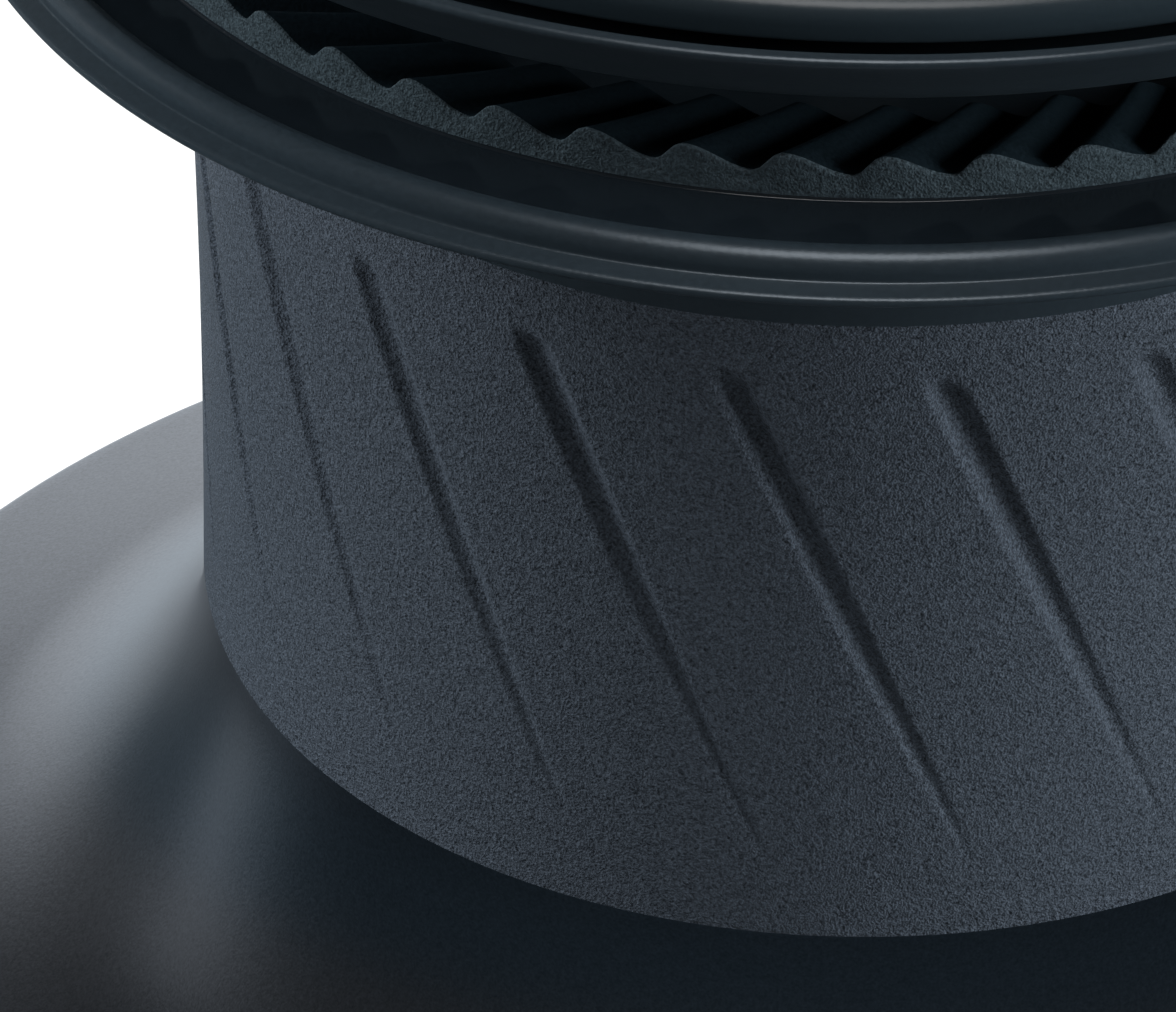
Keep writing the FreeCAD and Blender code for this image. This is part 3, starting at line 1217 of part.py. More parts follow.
guide_centre = size.barrel_radius + size.under_arc
guide_outer_arc = size.under_arc - 1.0
guide_inner_arc = guide_outer_arc - size.guide_thickness
guide_blank = turned("guide_blank", (
    (guide_centre - guide_outer_arc, barrel_top - 9.0),
    (guide_centre - guide_inner_arc, barrel_top - 10.0),
    (guide_centre - guide_inner_arc, barrel_top),
    (guide_centre, barrel_top + guide_inner_arc, guide_inner_arc, -1.0),
    (guide_centre + 2.5, post_bottom - size.guide_thickness),
    (size.post_outer, post_bottom - size.guide_thickness),
    (size.post_outer, post_bottom),
    (size.post_inner, post_bottom),
    (size.post_inner - 0.5, barrel_top + guide_outer_arc),
    (guide_centre, barrel_top + guide_outer_arc),
    (guide_centre - guide_outer_arc, barrel_top, guide_outer_arc, 1.0)),
    size.guide_sweep, size.arm_angle)
guide_holes = [rod(f"guide_hole_{index}", small_thread, post_bottom - size.guide_thickness - 1.0,
                   post_bottom + 1.0, x, y) for index, (x, y) in enumerate(guide_screw_spots)]
publish("line_guide", carved("line_guide", guide_blank, guide_holes))
guide_screws = []
for index, (x, y) in enumerate(guide_screw_spots):
    seat = post_bottom - size.guide_thickness
    shank = rod(f"guide_shank_{index}", size.small_screw_radius, seat,
                seat + size.small_screw_length, x, y)
    head = rod(f"guide_head_{index}", size.small_screw_radius * 1.8, seat - 1.6, seat, x, y)
    recess = prism(f"guide_recess_{index}", 6, 2.0, seat - 1.6, seat - 0.8, x, y)
    guide_screws.append(carved(f"guide_screw_{index}",
                               fused(f"guide_screw_blank_{index}", [shank, head]), [recess]))
publish("line_guide_screws", grouped("line_guide_screws", guide_screws))

finger_foot = crown_top + 0.3
peeler_seat = size.post_inner - size.seat_gap
peeler_blank = turned("peeler_blank", (
    (size.rib_root_radius - 2.0, finger_foot - 0.1),
    (peeler_base, finger_foot + 1.2),
    (peeler_base, finger_foot - 1.2),
    (peeler_seat, finger_foot - 1.2),
    (peeler_seat, nose_height + 0.6),
    (peeler_base, nose_height + 0.6),
    (peeler_base, upper_face_top - 0.6),
    (upper_face_outer, upper_face_top - 0.9),
    (size.rib_root_radius - 2.0, finger_foot + 1.7)), size.peeler_sweep, size.arm_angle)
peeler_holes = [radial_rod(f"peeler_hole_{index}", small_thread, peeler_screw_inner,
                           size.post_inner + 1.0, angle, peeler_middle)
                for index, angle in enumerate(peeler_screw_angles)]
publish("line_peeler", carved("line_peeler", peeler_blank, peeler_holes))
peeler_screws = []
for index, angle in enumerate(peeler_screw_angles):
    shank = radial_rod(f"peeler_shank_{index}", size.small_screw_radius,
                       peeler_screw_inner + 0.3, size.post_outer + 0.5, angle, peeler_middle)
    head = radial_rod(f"peeler_head_{index}", size.small_screw_radius * 1.7,
                      size.post_outer, size.post_outer + 1.5, angle, peeler_middle)
    peeler_screws.append(fused(f"peeler_screw_{index}", [shank, head]))
publish("line_peeler_screws", grouped("line_peeler_screws", peeler_screws))

# Top cap and seal
cap_bore = size.socket_radius + size.clear_gap
publish("top_cap", turned("top_cap", (
    (cap_bore, cap_top - size.cap_wall),
    (size.cap_radius - size.cap_wall, cap_top - size.cap_wall),
    (size.cap_radius - size.cap_wall, hub_top),
    (size.cap_radius, hub_top),
    (size.cap_radius, cap_top - 2.0),
    (size.cap_radius - 2.0, cap_top, 2.0, 1.0),
    (cap_bore, cap_top))))
publish("socket_seal", tube("socket_seal", size.socket_radius + size.running_gap,
                            size.disc_hub_bore - size.seat_gap, stem_head - 3.0, stem_head + 1.5))

doc.recompute()
for item in doc.Objects:
    if "Invalid" in item.State or "Error" in item.State:
        raise RuntimeError(f"{item.Name} did not build: {item.State}")
for item in NODES:
    if item.Shape.isNull() or not item.Shape.isValid():
        raise RuntimeError(f"{item.Label} has no valid shape")
os.makedirs("parts", exist_ok=True)
for item in NODES:
    item.Shape.exportStep(os.path.join("parts", item.Label + ".step"))
print(f"{len(NODES)} nodes written")
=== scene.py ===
"""Looks of a self-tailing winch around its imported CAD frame.

Sizes are in millimetres and angles in degrees, unless a name says otherwise. The winch
axis is Z, and the camera stands on the -Y side.
"""

import logging
import math
from collections.abc import Callable, Iterable, Sequence
from dataclasses import dataclass, field
from enum import IntEnum

import bpy
import numpy as np
from mathutils import Matrix, Vector


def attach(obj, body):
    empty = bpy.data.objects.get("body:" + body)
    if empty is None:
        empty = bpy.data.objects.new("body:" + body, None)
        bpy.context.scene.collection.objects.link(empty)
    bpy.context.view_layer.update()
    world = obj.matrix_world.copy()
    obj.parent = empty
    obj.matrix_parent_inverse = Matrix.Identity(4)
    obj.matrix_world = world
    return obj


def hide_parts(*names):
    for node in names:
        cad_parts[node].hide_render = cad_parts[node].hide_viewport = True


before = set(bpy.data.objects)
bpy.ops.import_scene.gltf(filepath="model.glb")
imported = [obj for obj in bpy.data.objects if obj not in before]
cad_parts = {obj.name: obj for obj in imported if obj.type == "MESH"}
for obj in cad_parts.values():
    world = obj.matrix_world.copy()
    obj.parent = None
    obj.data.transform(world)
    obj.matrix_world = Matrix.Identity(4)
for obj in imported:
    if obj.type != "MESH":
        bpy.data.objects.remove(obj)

log = logging.getLogger("winch")

MM = 0.001
FULL_TURN = 360.0
Socket = bpy.types.NodeSocket
Point = tuple[float, float]
Colour = tuple[float, float, float]


# Node trees


class Graph:
    """A node tree with short ways to add nodes and join them."""

    def __init__(self, tree: bpy.types.NodeTree) -> None:
        """Wraps a tree.

        Args:
            tree: The node tree.
        """
        self.tree = tree

    @classmethod
    def of(cls, owner: bpy.types.Material | bpy.types.World) -> "Graph":
        """Gives a material or a world an empty tree.

        Args:
            owner: The material or world.

        Returns:
            Its tree.
        """
        owner.use_nodes = True
        owner.node_tree.nodes.clear()
        return cls(owner.node_tree)

    def node(self, kind: str, **settings: object) -> bpy.types.Node:
        """Adds a node.

        Args:
            kind: The node's type.
            settings: Properties to set on it.

        Returns:
            The node.
        """
        made = self.tree.nodes.new(kind)
        for name, value in settings.items():
            setattr(made, name, value)
        return made

    def link(self, start: "Socket | Formula", end: Socket) -> None:
        """Joins an output or a sum's result to an input.

        Args:
            start: The output or the sum.
            end: The input.
        """
        self.tree.links.new(start.socket if isinstance(start, Formula) else start, end)

    def axes(self, vector: Socket) -> list["Formula"]:
        """Takes a vector apart.

        Args:
            vector: The vector's socket.

        Returns:
            Its X, Y and Z.
        """
        split = self.node("ShaderNodeSeparateXYZ")
        self.link(vector, split.inputs[0])
        return [Formula(self, output) for output in split.outputs]

    def path(self, name: str) -> "Formula":
        """Tells rays of one kind from the others.

        Args:
            name: The light path's output.

        Returns:
            1 for rays of that kind, otherwise 0.
        """
        return Formula(self, self.node("ShaderNodeLightPath").outputs[name])

    def open_view(self) -> "Formula":
        """Gives 1 for the camera's rays and those through glass, otherwise 0."""
        return self.path("Is Camera Ray").step("MAXIMUM", self.path("Is Transmission Ray"))


class Formula:
    """A value in a node tree that takes part in sums."""

    def __init__(self, graph: Graph, socket: Socket) -> None:
        """Wraps a socket.

        Args:
            graph: The tree that holds the socket.
            socket: The output that carries the value.
        """
        self.graph = graph
        self.socket = socket

    def step(self, operation: str, *others: "Formula | float") -> "Formula":
        """Adds a math node.

        Args:
            operation: The node's operation.
            others: The further operands.

        Returns:
            The node's result.
        """
        node = self.graph.node("ShaderNodeMath", operation=operation)
        for value, entry in zip((self, *others), node.inputs):
            if isinstance(value, Formula):
                self.graph.link(value, entry)
            else:
                entry.default_value = value
        return Formula(self.graph, node.outputs[0])

    def __add__(self, other: "Formula | float") -> "Formula":
        """Sum."""
        return self.step("ADD", other)

    def __sub__(self, other: "Formula | float") -> "Formula":
        """Difference."""
        return self.step("SUBTRACT", other)

    def __mul__(self, other: "Formula | float") -> "Formula":
        """Product."""
        return self.step("MULTIPLY", other)

    def __truediv__(self, other: "Formula | float") -> "Formula":
        """Quotient."""
        return self.step("DIVIDE", other)

    def above(self, floor: float) -> "Formula":
        """The value, or the floor where it is lower."""
        return self.step("MAXIMUM", floor)

    def clamped(self) -> "Formula":
        """The value kept from 0 to 1."""
        return self.step("MINIMUM", 1.0).above(0.0)

    def from_one(self) -> "Formula":
        """One less the value."""
        return self * -1.0 + 1.0

    def to_power(self, power: float) -> "Formula":
        """The value raised to a power."""
        return self.step("POWER", power)

    def root(self) -> "Formula":
        """The value's square root."""
        return self.step("SQRT")

    def folded(self) -> "Formula":
        """Distance from the nearest whole number, from 0 to 0.5."""
        return (self - self.step("ROUND")).step("ABSOLUTE")

    def wrapped(self) -> "Formula":
        """The part after the last whole number, from 0 to 1."""
        return self - self.step("FLOOR")


@dataclass(frozen=True)
class Polar:
    """A position as distance, azimuth and height, in metres and radians."""

    radius: Formula
    azimuth: Formula
    height: Formula

    @classmethod
    def of(cls, graph: Graph, vector: Socket) -> "Polar":
        """Takes a position apart.

        Args:
            graph: The tree that holds the socket.
            vector: The position's socket.

        Returns:
            The position about the Z axis.
        """
        x, y, z = graph.axes(vector)
        return cls((x * x + y * y).root(), y.step("ARCTAN2", x), z)


# Finishes


class Zone(IntEnum):
    """The face groups of a piece that has more than one finish."""

    MAIN = 0
    SMOOTH = 1
    GLOSSY = 2
    # Faces painted with shade: they lie in the upper jaw's shadow, so their finish is near black.
    SHADED = 3


@dataclass(frozen=True)
class Finish:
    """A surface with a fine grain: colour, sheen, relief and clouding.

    Grain sizes are in millimetres, and shares run from 0 to 1.
    """

    name: str
    colour: Colour
    metallic: float
    roughness: float
    grain: float = 0.35
    grain_share: float = 0.25
    roughness_swing: float = 0.06
    relief: float = 0.03
    cloud: float = 14.0
    cloud_share: float = 0.1
    specular: float = 0.5
    tint: Colour = (1.0, 1.0, 1.0)

    @staticmethod
    def noise(graph: Graph, place: Socket, size: float, detail: float = 2.0) -> Formula:
        """Adds a noise of a given grain.

        Args:
            graph: The material's tree.
            place: The coordinates it reads.
            size: The grain in millimetres.
            detail: How many finer layers it has.

        Returns:
            The noise, centred on 0.5.
        """
        node = graph.node("ShaderNodeTexNoise")
        node.inputs["Scale"].default_value = 1.0 / (size * MM)
        node.inputs["Detail"].default_value = detail
        graph.link(place, node.inputs["Vector"])
        return Formula(graph, node.outputs["Fac"])

    def pattern(self, graph: Graph, place: Socket) -> Formula:
        """The pattern that colours and roughens the surface.

        Args:
            graph: The material's tree.
            place: The object's coordinates.

        Returns:
            The pattern's height, centred on 0.5.
        """
        return self.noise(graph, place, self.grain)

    def material(self) -> bpy.types.Material:
        """Builds the material, once for each finish.

        Returns:
            The material.
        """
        made = bpy.data.materials.get(self.name)
        if made is not None:
            return made
        made = bpy.data.materials.new(self.name)
        made.diffuse_color = (*self.colour, 1.0)
        graph = Graph.of(made)
        shader = graph.node("ShaderNodeBsdfPrincipled")
        output = graph.node("ShaderNodeOutputMaterial")
        graph.link(shader.outputs[0], output.inputs["Surface"])
        shader.inputs["Metallic"].default_value = self.metallic
        shader.inputs["Specular IOR Level"].default_value = self.specular
        shader.inputs["Specular Tint"].default_value = (*self.tint, 1.0)
        place = graph.node("ShaderNodeTexCoord").outputs["Object"]
        grain = self.pattern(graph, place)
        cloud = self.noise(graph, place, self.cloud)
        light = ((grain - 0.5) * (2.0 * self.grain_share)
                 + (cloud - 0.5) * (2.0 * self.cloud_share) + 1.0)
        scale = graph.node("ShaderNodeVectorMath", operation="SCALE")
        scale.inputs[0].default_value = self.colour
        graph.link(light.above(0.0), scale.inputs["Scale"])
        graph.link(scale.outputs[0], shader.inputs["Base Color"])
        rough = (grain - 0.5) * self.roughness_swing + self.roughness
        graph.link(rough.clamped(), shader.inputs["Roughness"])
        bump = graph.node("ShaderNodeBump")
        bump.inputs["Strength"].default_value = 1.0
        bump.inputs["Distance"].default_value = self.relief * MM
        graph.link(grain, bump.inputs["Height"])
        graph.link(bump.outputs[0], shader.inputs["Normal"])
        return made


@dataclass(frozen=True)
class BlastedFinish(Finish):
    """A shot-blasted surface: a coarse grain under a fine one."""

    fine_share: float = 0.55
    coarseness: float = 2.0

    def pattern(self, graph: Graph, place: Socket) -> Formula:
        """Two grains laid over each other.

        Args:
            graph: The material's tree.
            place: The object's coordinates.

        Returns:
            The pattern's height, centred on 0.5.
        """
        fine = self.noise(graph, place, self.grain, 3.0)
        coarse = self.noise(graph, place, self.grain * self.coarseness, 1.0)
        return fine * self.fine_share + coarse * (1.0 - self.fine_share)


@dataclass(frozen=True)
class TurnedFinish(Finish):
    """A turned surface: fine rings round the axis over a faint grain."""

    ring: float = 0.25
    ring_share: float = 0.7
    climb: float = 1.3

    def pattern(self, graph: Graph, place: Socket) -> Formula:
        """Rings by distance and height, broken by grain.

        Args:
            graph: The material's tree.
            place: The object's coordinates.

        Returns:
            The pattern's height, centred on 0.5.
        """
        polar = Polar.of(graph, place)
        rings = graph.node("ShaderNodeTexNoise", noise_dimensions="1D")
        rings.inputs["Scale"].default_value = 1.0 / (self.ring * MM)
        graph.link(polar.radius + polar.height * self.climb, rings.inputs["W"])
        ring = Formula(graph, rings.outputs["Fac"]) * self.ring_share
        return ring + self.noise(graph, place, self.grain) * (1.0 - self.ring_share)


COOL = (0.82, 0.91, 1.0)

BLASTED_DRUM = BlastedFinish(
    "blasted_anodised_drum", (0.042, 0.053, 0.068), 0.0, 0.6, grain=0.13, grain_share=1.7,
    roughness_swing=0.3, relief=0.2, cloud_share=0.05, specular=0.2, tint=COOL)
SATIN_FLARE = BlastedFinish(
    "satin_anodised_flare", (0.18, 0.20, 0.23), 1.0, 0.32, grain=0.16, grain_share=0.5,
    roughness_swing=0.1, relief=0.012, cloud_share=0.05)
SATIN_JAW = Finish(
    "satin_jaw", (0.014, 0.021, 0.027), 0.0, 0.34, grain=0.3, grain_share=0.3, relief=0.012,
    specular=0.8, tint=COOL)
GLOSS_JAW = Finish(
    "polished_jaw_channel", (0.006, 0.009, 0.012), 0.0, 0.16, grain=0.5, grain_share=0.2,
    relief=0.004, roughness_swing=0.05)
# Painted shade: a near-black colour with little specular for the rib faces in the upper jaw's
# shadow, on the lower jaw's crown and on the upper jaw's downward face.
PAINTED_SHADE_RIBS = Finish(
    "painted_shade_jaw_ribs", (0.005, 0.009, 0.012), 0.0, 0.6, grain=0.26, grain_share=0.6, relief=0.03,
    specular=0.06)
CAST_JAW = BlastedFinish(
    "cast_jaw_crown", (0.032, 0.046, 0.055), 0.0, 0.5, grain=0.13, grain_share=1.5,
    roughness_swing=0.25, relief=0.12, specular=0.5, tint=COOL)
TOP_MOULDING = Finish(
    "satin_top_moulding", (0.014, 0.022, 0.028), 0.0, 0.33, grain=0.3, grain_share=0.15,
    relief=0.006)
SKIRT_MOULDING = Finish(
    "satin_skirt_moulding", (0.020, 0.026, 0.032), 0.0, 0.4, grain=0.4, grain_share=0.2,
    relief=0.01)
CASTING = BlastedFinish(
    "machined_casting", (0.42, 0.43, 0.44), 0.9, 0.42, grain=0.5, grain_share=0.2, relief=0.03)
BRONZE = TurnedFinish("cut_bronze", (0.60, 0.40, 0.19), 1.0, 0.34, grain_share=0.12, relief=0.01)
STEEL = TurnedFinish("turned_steel", (0.56, 0.57, 0.58), 1.0, 0.28, grain_share=0.1, relief=0.006)
POLISHED = Finish(
    "polished_stainless", (0.62, 0.63, 0.64), 1.0, 0.17, grain=0.6, grain_share=0.05,
    relief=0.002, roughness_swing=0.08)
WIRE = Finish("drawn_spring_wire", (0.52, 0.52, 0.53), 1.0, 0.3, grain=0.2, relief=0.004)
ACETAL = Finish("natural_acetal", (0.72, 0.71, 0.66), 0.0, 0.42, grain=0.6, grain_share=0.05)
SEAL = Finish("seal_rubber", (0.018, 0.018, 0.019), 0.0, 0.62, grain=0.3, relief=0.02)

CARRIED_OVER: dict[Finish, tuple[str, ...]] = {
    SKIRT_MOULDING: ("foot_skirt",),
    CASTING: ("base_flange", "stem"),
    BRONZE: ("first_speed_gear", "second_speed_gear", "second_speed_pinion", "idler_a",
             "idler_b", "drum_gear_ring", "foot_bush", "lower_shaft_bush", "upper_shaft_bush"),
    STEEL: ("main_shaft", "idler_a_spindle", "idler_b_spindle", "second_gear_spindle",
            "first_gear_washer", "jaw_retaining_ring", "jaw_keys", "first_pawl_a",
            "first_pawl_b", "second_pawl_a", "second_pawl_b", "lower_bearing_rollers",
            "upper_bearing_rollers"),
    POLISHED: ("handle_socket", "stem_screws", "skirt_screws", "arm_screws",
               "line_guide_screws", "line_peeler_screws", "lower_jaw_screws",
               "retaining_ring_screws", "socket_screw", "line_guide", "line_peeler"),
    WIRE: ("first_pawl_springs", "second_pawl_springs", "jaw_springs"),
    ACETAL: ("spindle_washers", "drum_thrust_washer", "bearing_spacer",
             "lower_bearing_cage", "upper_bearing_cage"),
    SEAL: ("socket_seal",),
    TOP_MOULDING: ("stripper_arm", "top_cap"),
    SATIN_JAW: ("lower_jaw", "upper_jaw"),
    BLASTED_DRUM: ("drum",),
}


def carry_over() -> None:
    """Gives every CAD node its finish, also those that a piece replaces."""
    for finish, nodes in CARRIED_OVER.items():
        for name in nodes:
            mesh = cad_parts[name].data
            mesh.materials.clear()
            mesh.materials.append(finish.material())
    log.info("finishes on %d CAD nodes", sum(len(nodes) for nodes in CARRIED_OVER.values()))


# Outlines and meshes


@dataclass(frozen=True)
class Corner:
    """A corner of an outline: distance from the axis, height, rounding and face group.

    The face group and the number of steps are those of the run that ends here.
    """

    radius: float
    height: float
    rounding: float = 0.0
    zone: Zone = Zone.MAIN
    steps: int = 1


def smooth(radius: float, height: float, rounding: float = 0.0, steps: int = 1) -> Corner:
    """A corner whose run belongs to the smooth face group.

    Args:
        radius: Its distance from the axis.
        height: Its height.
        rounding: How far back along each run its bend reaches.
        steps: How many edges its run has.

    Returns:
        The corner.
    """
    return Corner(radius, height, rounding, Zone.SMOOTH, steps)


def arc(centre: Point, radius: float, start: float, end: float, steps: int) -> list[Corner]:
    """Smooth corners along an arc.

    Args:
        centre: The arc's centre as distance and height.
        radius: The arc's radius.
        start: The first point's angle.
        end: The last point's angle.
        steps: How many edges it has.

    Returns:
        The corners, both ends among them.
    """
    angles = np.radians(start + (end - start) * np.arange(steps + 1) / steps)
    return [smooth(centre[0] + radius * math.cos(angle), centre[1] + radius * math.sin(angle))
            for angle in angles]


@dataclass(frozen=True)
class Outline:
    """A closed line beside the axis, anticlockwise with the radius to the right."""

    points: np.ndarray
    zones: np.ndarray

    @classmethod
    def rounded(cls, corners: Sequence[Corner], bend_steps: int = 5) -> "Outline":
        """Rounds the corners that have a rounding and divides the runs between them.

        Args:
            corners: The corners in order.
            bend_steps: How many edges a rounded corner has.

        Returns:
            The outline.
        """
        points: list[np.ndarray] = []
        zones: list[int] = []
        places = [np.array((corner.radius, corner.height)) for corner in corners]
        for index, corner in enumerate(corners):
            here, after = places[index], places[(index + 1) % len(places)]
            start, end = cls.bend(places[index - 1], here, after, corner.rounding)
            run = []
            if points:
                run = [points[-1] + (start - points[-1]) * step / corner.steps
                       for step in range(1, corner.steps)]
            run.append(start)
            if corner.rounding > 0.0:
                for step in range(1, bend_steps + 1):
                    part = step / bend_steps
                    run.append(start * (1 - part) ** 2 + here * 2 * part * (1 - part)
                               + end * part ** 2)
            points += run
            zones += [corner.zone] * len(run)
        return cls(np.array(points), np.array(zones))

    @staticmethod
    def bend(before: np.ndarray, here: np.ndarray, after: np.ndarray,
             rounding: float) -> tuple[np.ndarray, np.ndarray]:
        """Where a rounded corner leaves its two runs.

        Args:
            before: The corner before.
            here: The corner itself.
            after: The corner after.
            rounding: How far back along each run the bend reaches.

        Returns:
            The first and the last point of the bend.
        """
        ends = []
        for run in (before - here, after - here):
            length = np.linalg.norm(run)
            ends.append(here + run / length * min(rounding, length * 0.49))
        return ends[0], ends[1]


def even_columns(count: int, sweep: float = FULL_TURN, middle: float = 180.0) -> np.ndarray:
    """Evenly spaced azimuths.

    Args:
        count: How many steps the sweep has.
        sweep: The angle that they cover.
        middle: The azimuth in the middle of the sweep.

    Returns:
        The azimuths; the last is left out where they close.
    """
    steps = count if sweep == FULL_TURN else count + 1
    return middle - sweep / 2 + sweep / count * np.arange(steps)


def no_lean(radii: np.ndarray, heights: np.ndarray) -> np.ndarray:
    """Columns that stay in their planes.

    Args:
        radii: The outline's distances.
        heights: The outline's heights.

    Returns:
        No turn for any of them.
    """
    return np.zeros_like(radii * heights)


def turned_mesh(name: str, outline: Outline, azimuths: np.ndarray, closed: bool = True,
                lean: Callable[[np.ndarray, np.ndarray], np.ndarray] = no_lean
                ) -> bpy.types.Mesh:
    """Turns an outline round the axis.

    Args:
        name: The mesh's name.
        outline: The closed outline.
        azimuths: The azimuths of the columns, rising.
        closed: Whether the columns run all the way round; if not, ends are capped.
        lean: Turns a row of points by its distance and height.

    Returns:
        The mesh, in metres, with a face attribute "zone".
    """
    radii, heights = outline.points[:, 0], outline.points[:, 1]
    rows, columns = len(radii), len(azimuths)
    turns = np.radians(azimuths[None, :] + lean(radii, heights)[:, None])
    vertices = np.stack((radii[:, None] * np.cos(turns), radii[:, None] * np.sin(turns),
                         np.broadcast_to(heights[:, None], turns.shape)), axis=-1)
    faces: list[tuple[int, ...]] = []
    zones: list[int] = []
    for row in range(rows):
        above = (row + 1) % rows
        for column in range(columns if closed else columns - 1):
            right = (column + 1) % columns
            faces.append((row * columns + column, row * columns + right,
                          above * columns + right, above * columns + column))
            zones.append(int(outline.zones[above]))
    if not closed:
        faces.append(tuple(row * columns for row in range(rows)))
        faces.append(tuple(row * columns + columns - 1 for row in reversed(range(rows))))
        zones += [int(Zone.MAIN)] * 2
    mesh = bpy.data.meshes.new(name)
    mesh.from_pydata((vertices.reshape(-1, 3) * MM).tolist(), [], faces)
    attribute = mesh.attributes.new("zone", "INT", "FACE")
    attribute.data.foreach_set("value", zones)
    mesh.validate()
    return mesh


# Pieces


class ShapeTree(Graph):
    """A Geometry Nodes tree with named inputs that ends in real geometry and finishes."""

    def __init__(self, name: str) -> None:
        """Starts the tree.

        Args:
            name: The tree's name.
        """
        super().__init__(bpy.data.node_groups.new(name, "GeometryNodeTree"))
        self.identifiers: dict[str, str] = {}
        for way in ("INPUT", "OUTPUT"):
            self.tree.interface.new_socket("Geometry", in_out=way,
                                           socket_type="NodeSocketGeometry")
        self.entry = self.node("NodeGroupInput")
        self.exit = self.node("NodeGroupOutput")

    def numbers(self, *names: str) -> list[Formula]:
        """Adds named number inputs.

        Args:
            names: The inputs' names.

        Returns:
            Their values.
        """
        for name in names:
            socket = self.tree.interface.new_socket(name, in_out="INPUT",
                                                    socket_type="NodeSocketFloat")
            self.identifiers[name] = socket.identifier
        return [Formula(self, self.entry.outputs[name]) for name in names]

    def position(self) -> Socket:
        """The position of each point."""
        return self.node("GeometryNodeInputPosition").outputs[0]

    def moved(self, offset: Socket) -> Socket:
        """Shifts every point of the mesh that comes in.

        Args:
            offset: The shift of each point.

        Returns:
            The shifted geometry.
        """
        move = self.node("GeometryNodeSetPosition")
        self.link(self.entry.outputs[0], move.inputs["Geometry"])
        self.link(offset, move.inputs["Offset"])
        return move.outputs[0]

    def finish(self, geometry: Socket, finishes: dict[Zone, Finish]) -> "ShapeTree":
        """Ends the tree: realises instances and sets the finish of each face group.

        Args:
            geometry: What the tree has made.
            finishes: The finish of each face group; a single one covers all faces.

        Returns:
            The tree itself.
        """
        realise = self.node("GeometryNodeRealizeInstances")
        self.link(geometry, realise.inputs[0])
        geometry = realise.outputs[0]
        for zone, finish in finishes.items():
            paint = self.node("GeometryNodeSetMaterial")
            paint.inputs["Material"].default_value = finish.material()
            if len(finishes) > 1:
                group = self.node("GeometryNodeInputNamedAttribute", data_type="INT")
                group.inputs["Name"].default_value = "zone"
                same = self.node("FunctionNodeCompare", data_type="INT", operation="EQUAL")
                self.link(group.outputs[0], same.inputs[2])
                same.inputs[3].default_value = int(zone)
                self.link(same.outputs[0], paint.inputs["Selection"])
            self.link(geometry, paint.inputs["Geometry"])
            geometry = paint.outputs[0]
        self.link(geometry, self.exit.inputs[0])
        return self

    def put_on(self, piece: bpy.types.Object, values: dict[str, float]) -> None:
        """Adds the tree to a piece as a modifier.

        Args:
            piece: The object.
            values: The value of each named input.
        """
        modifier = piece.modifiers.new(self.tree.name, "NODES")
        modifier.node_group = self.tree
        for name, value in values.items():
            modifier[self.identifiers[name]] = value


@dataclass(frozen=True)
class Role:
    """What a piece is called, moves with, is made of and stands for."""

    name: str
    body: str
    slot: str
    node: str


@dataclass
class Workshop:
    """Puts pieces into the scene and keeps count of them."""

    bevel_angle: float = 50.0
    bevel_segments: int = 3
    made: list[str] = field(default_factory=list)

    def add(self, role: Role, mesh: bpy.types.Mesh, shape: ShapeTree,
            values: dict[str, float], bevel: float = 0.0, soft_angle: float = 50.0) -> None:
        """Makes a piece: shapes its mesh, keeps the result as plain mesh and dresses it.

        Args:
            role: What the piece is.
            mesh: Its mesh before shaping.
            shape: The tree that shapes and finishes it.
            values: The tree's inputs.
            bevel: The rounding of its edges.
            soft_angle: The angle up to which an edge is shaded soft.
        """
        piece = bpy.data.objects.new(role.name, mesh)
        bpy.context.scene.collection.objects.link(piece)
        if bevel > 0.0:
            edges = piece.modifiers.new("edges", "BEVEL")
            edges.width = bevel * MM
            edges.segments = self.bevel_segments
            edges.limit_method = "ANGLE"
            edges.angle_limit = math.radians(self.bevel_angle)
        shape.put_on(piece, values)
        bpy.context.view_layer.update()
        shaped = piece.evaluated_get(bpy.context.evaluated_depsgraph_get())
        plain = bpy.data.meshes.new_from_object(shaped)
        piece.modifiers.clear()
        piece.data = plain
        plain.name = role.name
        plain.shade_smooth()
        plain.set_sharp_from_angle(angle=math.radians(soft_angle))
        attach(piece, role.body)
        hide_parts(role.node)
        self.made.append(role.name)
        log.info("%s: %d faces on %s", role.name, len(plain.polygons), role.body)


